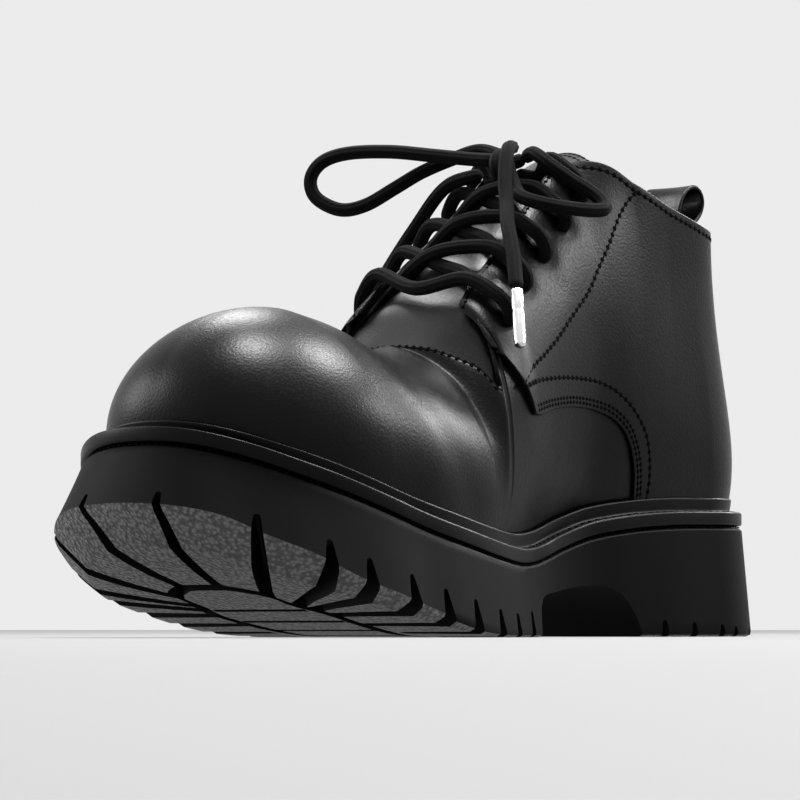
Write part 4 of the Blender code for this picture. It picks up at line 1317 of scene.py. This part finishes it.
LACE_RADIUS = 2.5
LACE_CLEAR = 0.5
LACE_STEP = 1.1
LACE_AROUND = 48
FLUTES = 8
FLUTE_DEPTH = 0.10


def carried_sides(line):
    """Two sides of a line; the first is carried on by taking out of it whatever points
    along the next tangent."""
    tangent = unit(np.gradient(line, axis=0))
    guess = np.array([0.0, 0.0, 1.0]) if abs(tangent[0, 2]) < 0.8 else np.array([1.0, 0, 0])
    side = [unit(np.cross(tangent[0], guess))]
    for way in tangent[1:]:
        side.append(unit(side[-1] - way * (side[-1] @ way)))
    return np.array(side), np.cross(tangent, side)


def lace_tube(route):
    """Points, faces and UV of a fluted tube with closed ends along the route."""
    line = spaced(route, LACE_STEP)
    length = line_length(line)
    tip = LACE_RADIUS * (1 - np.cos(np.linspace(0, pi / 2, 5)))
    at = np.concatenate([tip, length[(length > tip[-1]) & (length < length[-1] - tip[-1])],
                         length[-1] - tip[::-1]])
    line = read_off(line, length, at)
    side, other = carried_sides(line)
    turn = np.linspace(0.0, 2 * pi, LACE_AROUND + 1)
    flute = 1.0 - FLUTE_DEPTH * (1 - np.abs(np.cos(FLUTES / 2 * turn)) ** 0.6)
    end = rounded(np.minimum(at, at[-1] - at), LACE_RADIUS)
    radius = LACE_RADIUS * end[:, None] * flute[None, :]
    points = line[:, None] + radius[..., None] * (
        np.cos(turn)[None, :, None] * side[:, None] + np.sin(turn)[None, :, None] * other[:, None])
    uv = np.stack(np.broadcast_arrays(at[:, None], turn[None, :]), axis=-1)
    return points.reshape(-1, 3), grid_quads(len(at), LACE_AROUND + 1), uv.reshape(-1, 2)


def lace_piece(name, routes):
    """Piece of lace along one or more routes."""
    tubes = [lace_tube(route) for route in routes]
    base = np.cumsum([0] + [len(points) for points, _, _ in tubes])
    faces = np.concatenate([own + start for start, (_, own, _) in zip(base, tubes)])
    points, uv = (np.concatenate([tube[k] for tube in tubes]) for k in (0, 2))
    return make_piece(name, points, faces, LACE, uv)


# %% [markdown]
# The bow comes before the rest of the lacing.  Its knot sits over the tongue at the top of
# the throat.  One loop stands out over the toe, the other folds down beside the ankle, and
# both ends hang with a crimped metal tip.  The points of each route are listed.

KNOT_STATION = 113.5
KNOT_ABOVE = 8.3
KNOT_RADIUS = 4.7
KNOT_PITCH = 5.4
KNOT_TURN = 0.83 * pi
LOOP_LATERAL = (
    (-3.6, 118.5, 168), (-14, 120.5, 169.3), (-27, 124.8, 171.2), (-42, 130.8, 173.3),
    (-57, 136.7, 173.5), (-66.3, 140.5, 170.8), (-70.6, 142.2, 164.8), (-68.6, 141.4, 157.9),
    (-59.9, 138, 153.2), (-50.8, 134.3, 154.5), (-41.5, 129, 160.3), (-33.4, 124, 165.7),
    (-25, 117.5, 170.2), (-15, 113.5, 173), (-4.2, 112.8, 170),
)
LOOP_MEDIAL = (
    (6, 112.8, 168.5), (12.5, 116, 169.5), (20, 116.5, 165), (27, 112, 159),
    (32.5, 108.6, 154.8), (37.5, 108, 150.6), (40.4, 111.5, 148), (39.5, 116.8, 147.2),
    (37, 122.7, 147.4), (33, 129.5, 148.2), (24.5, 134, 150.8), (15.5, 129, 155),
    (8.5, 125.4, 164.5), (6.4, 121.5, 164.6),
)
END_LATERAL = (
    (-5.3, 123, 163), (-19, 127, 159), (-33, 128, 145), (-40.5, 134, 130), (-43, 142, 116),
)
END_MEDIAL = (
    (5.6, 118.8, 172), (10.5, 127.8, 169.5), (14.5, 134, 159), (19, 138.5, 150),
    (26, 146, 141), (34, 152.5, 129.5), (40.5, 158.5, 117),
)
AGLET_RADIUS = 2.1
AGLET_LENGTH = 22.0
AGLET_LATERAL = (-47.0, 152.5, 96.0)
AGLET_MEDIAL = (48.2, 165.5, 96.0)
# Tip's outline: distance from the lace, share of the radius.
AGLET_SHAPE = ((0.0, 0.55), (0.05, 0.94), (0.35, 1.0), (6.6, 1.0), (7.2, 0.97), (8.0, 0.87),
               (8.8, 0.97), (9.4, 1.0), (19.0, 1.0), (19.8, 0.96), (20.4, 0.88), (21.0, 0.93),
               (21.5, 0.86), (21.9, 0.62), (AGLET_LENGTH, 0.0))


def make_aglet(name, start, toward):
    """Metal tube with two crimps, closed to a point of solder at its end."""
    start = np.asarray(start, dtype=float)
    way = unit(np.asarray(toward) - start)
    side = unit(np.cross(way, (0.0, 0.0, 1.0)))
    other = np.cross(way, side)
    shape = np.array(((0.0, 0.0),) + AGLET_SHAPE)
    turn = np.linspace(0, 2 * pi, 33)[:-1]
    out = np.cos(turn)[:, None] * side + np.sin(turn)[:, None] * other
    centre = start + way * (shape[:, :1] + 2 * GAP)
    points = centre[:, None] + AGLET_RADIUS * shape[:, 1, None, None] * out[None]
    return make_piece(name, points.reshape(-1, 3), grid_quads(len(shape), 32, closed=True), METAL)


def knot_route():
    """Most of one turn round the lace's middle, drawn out sideways like a spring."""
    centre = tongue_point(0.0, KNOT_STATION, KNOT_ABOVE)
    turn = np.linspace(-KNOT_TURN, KNOT_TURN, 40)
    return np.stack([centre[0] + KNOT_PITCH * turn / (2 * pi),
                     centre[1] + KNOT_RADIUS * np.sin(turn),
                     centre[2] + KNOT_RADIUS * np.cos(turn)], axis=1)


def knot_cores():
    """Short strands that join the loops and ends through the middle of the knot."""
    centre = tongue_point(0.0, KNOT_STATION, KNOT_ABOVE)
    through = [(LOOP_LATERAL[0], LOOP_MEDIAL[-1]), (LOOP_LATERAL[-1], LOOP_MEDIAL[0])]
    return [curve_through([a, centre + 0.35 * (np.add(a, b) / 2 - centre), b], 8)
            for a, b in through]


def free_lace(name, marks):
    """Free length of lace from the knot, following its marks."""
    route = curve_through(marks, 10)
    piece = lace_piece(name, [route])
    return piece


TIP_LATERAL = make_aglet("tip_lateral", END_LATERAL[-1], AGLET_LATERAL)
TIP_MEDIAL = make_aglet("tip_medial", END_MEDIAL[-1], AGLET_MEDIAL)
BOW = {
    "lace_loop_lateral": free_lace("bow_loop_lateral", LOOP_LATERAL),
    "lace_loop_medial": free_lace("bow_loop_medial", LOOP_MEDIAL),
    "lace_end_lateral": free_lace("bow_end_lateral", END_LATERAL),
    "lace_end_medial": free_lace("bow_end_medial", END_MEDIAL),
}
KNOT = lace_piece("bow_knot", [knot_route()] + knot_cores())

# %% [markdown]
# The lace starts as a straight bar over the lowest pair of eyelets.  From there each strand
# comes out from under one facing, crosses to the other side and goes down through the next
# eyelet.  The upper strand of each crossing rides over the lower one.

# Heights over the tongue: the lowest bar, and the lower and upper strand of a crossing.
BAR_ABOVE = 2.5
LOWER_ABOVE = -0.2
UPPER_ABOVE = 4.0
# Where the top strands leave the knot: (distance from the middle, station, height) twice.
KNOT_EXITS = ((2.0, 111.5, 1.5), (9.0, 109.5, 1.0))


def skin(side, along, share, above):
    """Point above the quarter's face, along its normal."""
    here = on_upper(side, along, share)
    higher = on_upper(side, along, share - 0.02)
    ahead = on_upper(side, along + 0.004, share)
    normal = unit(side * np.cross(ahead - here, here - higher))
    return here + (proud(along) + above) * normal


def over_facing(side, row):
    """Route over one facing, from its edge down through its eyelet."""
    along, share = eyelet(side, row)
    high = LACE_RADIUS + LACE_CLEAR
    return [skin(side, along + 0.015, 1.0, high + 0.2),
            skin(side, along + 0.010, 0.45 + 0.55 * share, high + 0.4),
            skin(side, along + 0.003, share + 0.055, high - 0.3),
            skin(side, along, share + 0.012, 1.0),
            skin(side, along, share, -3.5)]


def strand(side, row, above):
    """Route from under the far facing of one row to the near eyelet of the next."""
    facing = over_facing(side, row + 1)
    start_station = on_upper(-side, eyelet(-side, row)[0] - 0.018, 1.0)[1]
    throat = np.array(RIM_PARTS[1])
    half = np.interp(start_station, throat[:, 2], throat[:, 1])
    clear = LACE_RADIUS + LACE_CLEAR
    hidden = tongue_point(RIM_MIDDLE - side * (half + 5.0), start_station + 3.0, 0.8)
    start = tongue_point(RIM_MIDDLE - side * (half - 4.1), start_station, clear - 0.2)
    middle = tongue_point(0.0, (start_station + facing[0][1]) / 2, clear + above)
    return curve_through([hidden, start, middle] + facing, 8)


def lacing_routes():
    """Lowest bar, three crossings and the runs from the top eyelets to the knot."""
    medial, lateral = over_facing(1, 0), over_facing(-1, 0)
    middle = tongue_point(0.0, (medial[0][1] + lateral[0][1]) / 2, LACE_RADIUS + BAR_ABOVE)
    routes = [curve_through(medial[::-1] + [middle] + lateral, 8)]
    for row in range(3):
        routes += [strand(-1, row, LOWER_ABOVE), strand(1, row, UPPER_ABOVE)]
    for side in (1, -1):
        exits = [tongue_point(side * x, station, LACE_RADIUS + above)
                 for x, station, above in KNOT_EXITS]
        routes.append(curve_through(exits + over_facing(side, 4), 8))
    return routes


LACING = lace_piece("lacing", lacing_routes())
print("lacing", len(LACING.data.polygons), "faces")

# %% Seams
# %% [markdown]
# Every seam is a row of small thread stitches, each a closed pebble sunk by half.  Most rows
# also have a flat near-black patch before each stitch: painted shade that stands for its
# needle hole.  A row follows a line on its surface, and all the rows of a kind are joined
# into one piece.

# Seams of the quarters, as (place along, height).
SEAM_DIAGONAL = ((1.222, 158.5), (1.260, 153), (1.290, 146), (1.326, 133),
                 (1.372, 119), (1.448, 106), (1.510, 97.2), (1.575, 90), (1.613, 84.7))
SEAM_UPPER = ((1.612, 83.6), (1.575, 85.6), (1.530, 87.3), (1.458, 88.8), (1.378, 88.9),
              (1.330, 87.4), (1.286, 83.5), (1.245, 77.6), (1.212, 70), (1.190, 59),
              (1.180, 47.5))
# Seams that run beside a rim, as (place along, depth below the rim).
SEAM_FACING = ((1.338, 3.6), (1.352, 2.6), (1.404, 2.3), (1.466, 2.3), (1.544, 2.3),
               (1.606, 2.3), (1.640, 2.6), (1.647, 3.0))
SEAM_COLLAR = ((0.0, 3.4), (0.3, 3.4), (0.6, 3.4), (0.9, 3.4), (1.114, 3.4), (1.228, 3.4),
               (1.29, 3.4), (1.334, 3.6))
SEAM_VAMP = ((1.6635, 1.6), (1.672, 1.7), (1.680, 1.8), (1.695, 1.8), (1.7098, 1.8))
# Distances of the rows beside the quarter's lower edge, and round the tongue's top.
LAP_ROWS = (1.7, 3.3)
TONGUE_ROWS = (2.4, 5.0)
# Stitches: length, width and height; how far apart they are.
STITCH = (1.8, 0.75, 0.34)
STITCH_PITCH = 2.9
FINE_STITCH = (1.3, 0.45, 0.26)
FINE_PITCH = 2.2
WELT_STITCH = (2.6, 0.8, 0.55)
WELT_PITCH = 3.8
WALL_STITCH = (1.7, 0.5, 0.5)
WALL_PITCH = 2.8
STITCH_SUNK = 0.02
# Painted shade of the needle holes: its width as a share of the pitch, and its lift off the face.
HOLE_SHARE = 0.72
HOLE_LIFT = 0.04


def stitched(line, normal, pitch):
    """Centres, directions and normals of the stitches, a pitch apart along the line."""
    length = line_length(line)
    count = max(int(length[-1] / pitch), 2)
    at = (np.arange(count) + 0.5) * length[-1] / count
    centre, face, way = (read_off(values, length, at)
                         for values in (line, normal, np.gradient(line, axis=0)))
    face, way = unit(face), unit(way)
    return centre, unit(way - face * np.sum(way * face, axis=1, keepdims=True)), face


def seam_pieces(name, lines, size, pitch, holes=True):
    """Pieces of the stitches of several rows and, where holes is set, of the painted shade of
    their needle holes: flat near-black patches.
    """
    rows = [stitched(line, normal, pitch) for line, normal in lines]
    centre, way, face = (np.concatenate([row[k] for row in rows]) for k in range(3))
    made = [make_piece(name, *joined_copies(pebble(*size), centre, way, face), THREAD)]
    if holes:
        # Painted shade: a flat near-black patch before each stitch stands for its needle hole.
        wide = HOLE_SHARE * pitch
        place = centre + way * pitch / 2 + face * HOLE_LIFT
        shape = pebble(wide, 0.9 * wide, 0.2, 3, 8)
        made.append(make_piece(name + "_hole_shades", *joined_copies(shape, place, way, face), HOLE_SHADE))
    return made


def upper_seam(side, marks, share, on_quarter=True):
    """Line on the quarter's or the vamp's face through (along, value) marks, with its
    normals; share turns the values into shares."""
    along, value = curve_through(marks, 10).T
    t = share(side, along, value)[:, None]
    here = columns_at(side, along, t)[:, 0]
    ahead = columns_at(side, along + 0.002, t)[:, 0]
    higher = columns_at(side, along, t + 0.01)[:, 0]
    normal = unit(side * np.cross(ahead - here, higher - here))
    above = (proud(along)[:, None] if on_quarter else 0.0) - STITCH_SUNK
    return creased(here + normal * above, normal, CREASE_LINES), normal


def beside(marks, distance):
    """Marks (along, height) moved sideways by a distance in millimetres, upwards and back."""
    scale = np.array([TOE_CENTRE - HEEL_CENTRE, 1.0])
    line = np.asarray(marks) * scale
    ahead = unit(np.gradient(line, axis=0))
    return (line + distance * np.stack([-ahead[:, 1], ahead[:, 0]], axis=1)) / scale


def ring_line(profile):
    """Closed line round the lip."""
    line = ring(profile, stepped(0, 24, 1, 60, 2, 30, 3))
    return np.concatenate([line, line[:1]])


def outward_normals(line):
    """Level normals of a closed line that runs round the sole, pointing outwards."""
    ahead = np.gradient(line, axis=0)
    ahead[0] = ahead[-1] = line[1] - line[-2]
    normal = np.stack([ahead[:, 1], -ahead[:, 0], 0 * ahead[:, 0]], axis=1)
    middle = line - np.column_stack([centre_line(line[:, 1]), line[:, 2]])
    sign = np.sign(np.sum(normal * middle, axis=1, keepdims=True))
    return unit(normal * sign)


def make_seams():
    """All the stitching of the upper and the sole."""
    def rows(lines, share, on_quarter=True):
        return [upper_seam(side, marks, share, on_quarter) for side in (1, -1) for marks in lines]

    plain = rows([SEAM_DIAGONAL, SEAM_UPPER], share_at_height)
    plain += rows([SEAM_COLLAR], share_below_rim)
    fine = rows([beside(LAP_EDGE[:9], distance) for distance in LAP_ROWS], share_at_height)
    fine += rows([SEAM_FACING], share_below_rim)
    vamp = rows([SEAM_VAMP], share_below_rim, on_quarter=False)
    ledge = ring_line(lambda s: (0.62 * level("ledge", s), level("lip", s) + 0.05))
    upward = 0 * ledge + (0.0, 0.0, 1.0)
    wall = ring_line(lambda s: (1.0, level("lip", s) - LIP_HEIGHT - 0.1))
    return (seam_pieces("quarter_seams", plain, STITCH, STITCH_PITCH)
            + seam_pieces("edge_seams", fine, FINE_STITCH, FINE_PITCH)
            + seam_pieces("vamp_seam", vamp, STITCH, STITCH_PITCH)
            + seam_pieces("welt_seam", [(ledge, upward)], WELT_STITCH, WELT_PITCH, False)
            + seam_pieces("wall_seam", [(wall, outward_normals(wall))], WALL_STITCH,
                          WALL_PITCH, False))


def tongue_row(inset):
    """Row of stitches round the tongue's top, inset from its edge."""
    station = TONGUE[0][0] + inset + 34.0 * np.linspace(1.0, 0.0, 60) ** 2
    half = tongue_value("half", station) - inset
    x = np.concatenate([-half, np.linspace(-half[-1], half[-1], 12)[1:-1], half[::-1]])
    s = np.concatenate([station, np.full(10, station[-1]), station[::-1]])
    line = np.array([tongue_point(a, b, 0.0) for a, b in zip(x, s)])
    above = np.array([tongue_point(a, b, 1.0) for a, b in zip(x, s)])
    return line, unit(above - line)


SEAMS = make_seams()
TONGUE_SEAM = seam_pieces("tongue_seam", [tongue_row(inset) for inset in TONGUE_ROWS],
                          FINE_STITCH, FINE_PITCH)
print("seam pieces:", [p.name for p in SEAMS + TONGUE_SEAM])

# %% Riding on the shoe
# %% [markdown]
# Every piece rides on the one body of the shoe, and the CAD solids that the pieces redraw
# are hidden.

REPLACED = (
    (SOLE, ("outsole",), "sole_rubber"),
    (WELT, ("welt_midsole",), "welt_rubber"),
    (SOCK, ("insole",), "lining"),
    (VAMP, ("upper",), "upper_leather"),
    (QUARTERS, ("upper",), "upper_leather"),
    (QUARTER_LINING, ("upper",), "lining"),
    (TONGUE_STRIP, ("tongue",), "tongue_leather"),
    (HEEL_LOOP, ("pull_loop",), "loop_leather"),
    (LACING, ("lace_bar", "lace_cross_1", "lace_cross_2", "lace_cross_3", "lace_top_medial",
              "lace_top_lateral"), "lace"),
    (KNOT, ("lace_knot",), "lace"),
    (TIP_LATERAL, ("aglet_lateral",), "aglet"),
    (TIP_MEDIAL, ("aglet_medial",), "aglet"),
)
for piece in PIECES:
    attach(piece, "root")
for piece, nodes, slot in REPLACED:
    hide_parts(*nodes)
for node, piece in BOW.items():
    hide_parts(node)
for piece in SEAMS + TONGUE_SEAM:
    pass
print(len(PIECES), "pieces ride on the shoe")

# %% Floor, light and finish
# %% [markdown]
# Black leather shows its form only by what it mirrors, so each soft light stands where one
# part of the shoe mirrors it: two high ones lay the highlights on the bulb, a near one lights
# the ankle, one behind draws the fold beside the bulb, a small one looks at the tongue, and a
# weak wide one lifts the wall of the sole.  The floor is plain, with a faint glow of its own
# so that it stays even far from the lights.

WORLD_LIGHT = 0.9
FLOOR_HALF = 4.0
FLOOR_GLOW = 0.42
AREA_LIGHTS = (
    # name, place (x, y, z) in metres, target, size in metres, power in watts
    ("over", (-0.02, -0.12, 1.25), (0.0, -0.18, 0.08), 0.36, 24.0),
    ("right", (0.21, 0.42, 1.03), (0.0, -0.16, 0.08), 0.36, 18.0),
    ("side", (0.29, 0.23, 0.35), (0.04, 0.0, 0.14), 0.14, 1.15),
    ("heel", (0.02, 1.00, 0.62), (0.0, -0.12, 0.08), 0.34, 7.0),
    ("throat", (-0.17, -0.06, 0.31), (0.0, -0.03, 0.10), 0.12, 0.5),
    ("left", (-1.15, -0.75, 0.55), (0.0, -0.18, 0.06), 0.70, 8.0),
)


def make_lights():
    """Soft round lights and a pale surround."""
    for name, place, target, size, power in AREA_LIGHTS:
        data = bpy.data.lights.new(name, "AREA")
        data.shape = "DISK"
        data.size = size
        data.energy = power
        light = add_object(name, data)
        light.location = place
        aim(light, target)
    world_data = bpy.data.worlds.new("studio")
    world_data.use_nodes = True
    background = world_data.node_tree.nodes["Background"]
    background.inputs["Color"].default_value = (0.93, 0.93, 0.93, 1.0)
    background.inputs["Strength"].default_value = WORLD_LIGHT
    bpy.context.scene.world = world_data


def make_floor():
    """Wide plain floor that glows faintly."""
    mesh = bpy.data.meshes.new("floor")
    mesh.from_pydata([(FLOOR_HALF * x, FLOOR_HALF * y, 0)
                      for x, y in ((-1, -1), (1, -1), (1, 1), (-1, 1))], [], [(0, 1, 2, 3)])
    g = Graph("floor", (0.040, 0.040, 0.040), 0.8)
    g.set("Emission Color", (1.0, 1.0, 1.0, 1.0))
    g.set("Emission Strength", FLOOR_GLOW)
    mesh.materials.append(g.material)
    add_object("floor", mesh)


make_lights()
make_floor()
bpy.context.scene.view_settings.view_transform = "Standard"
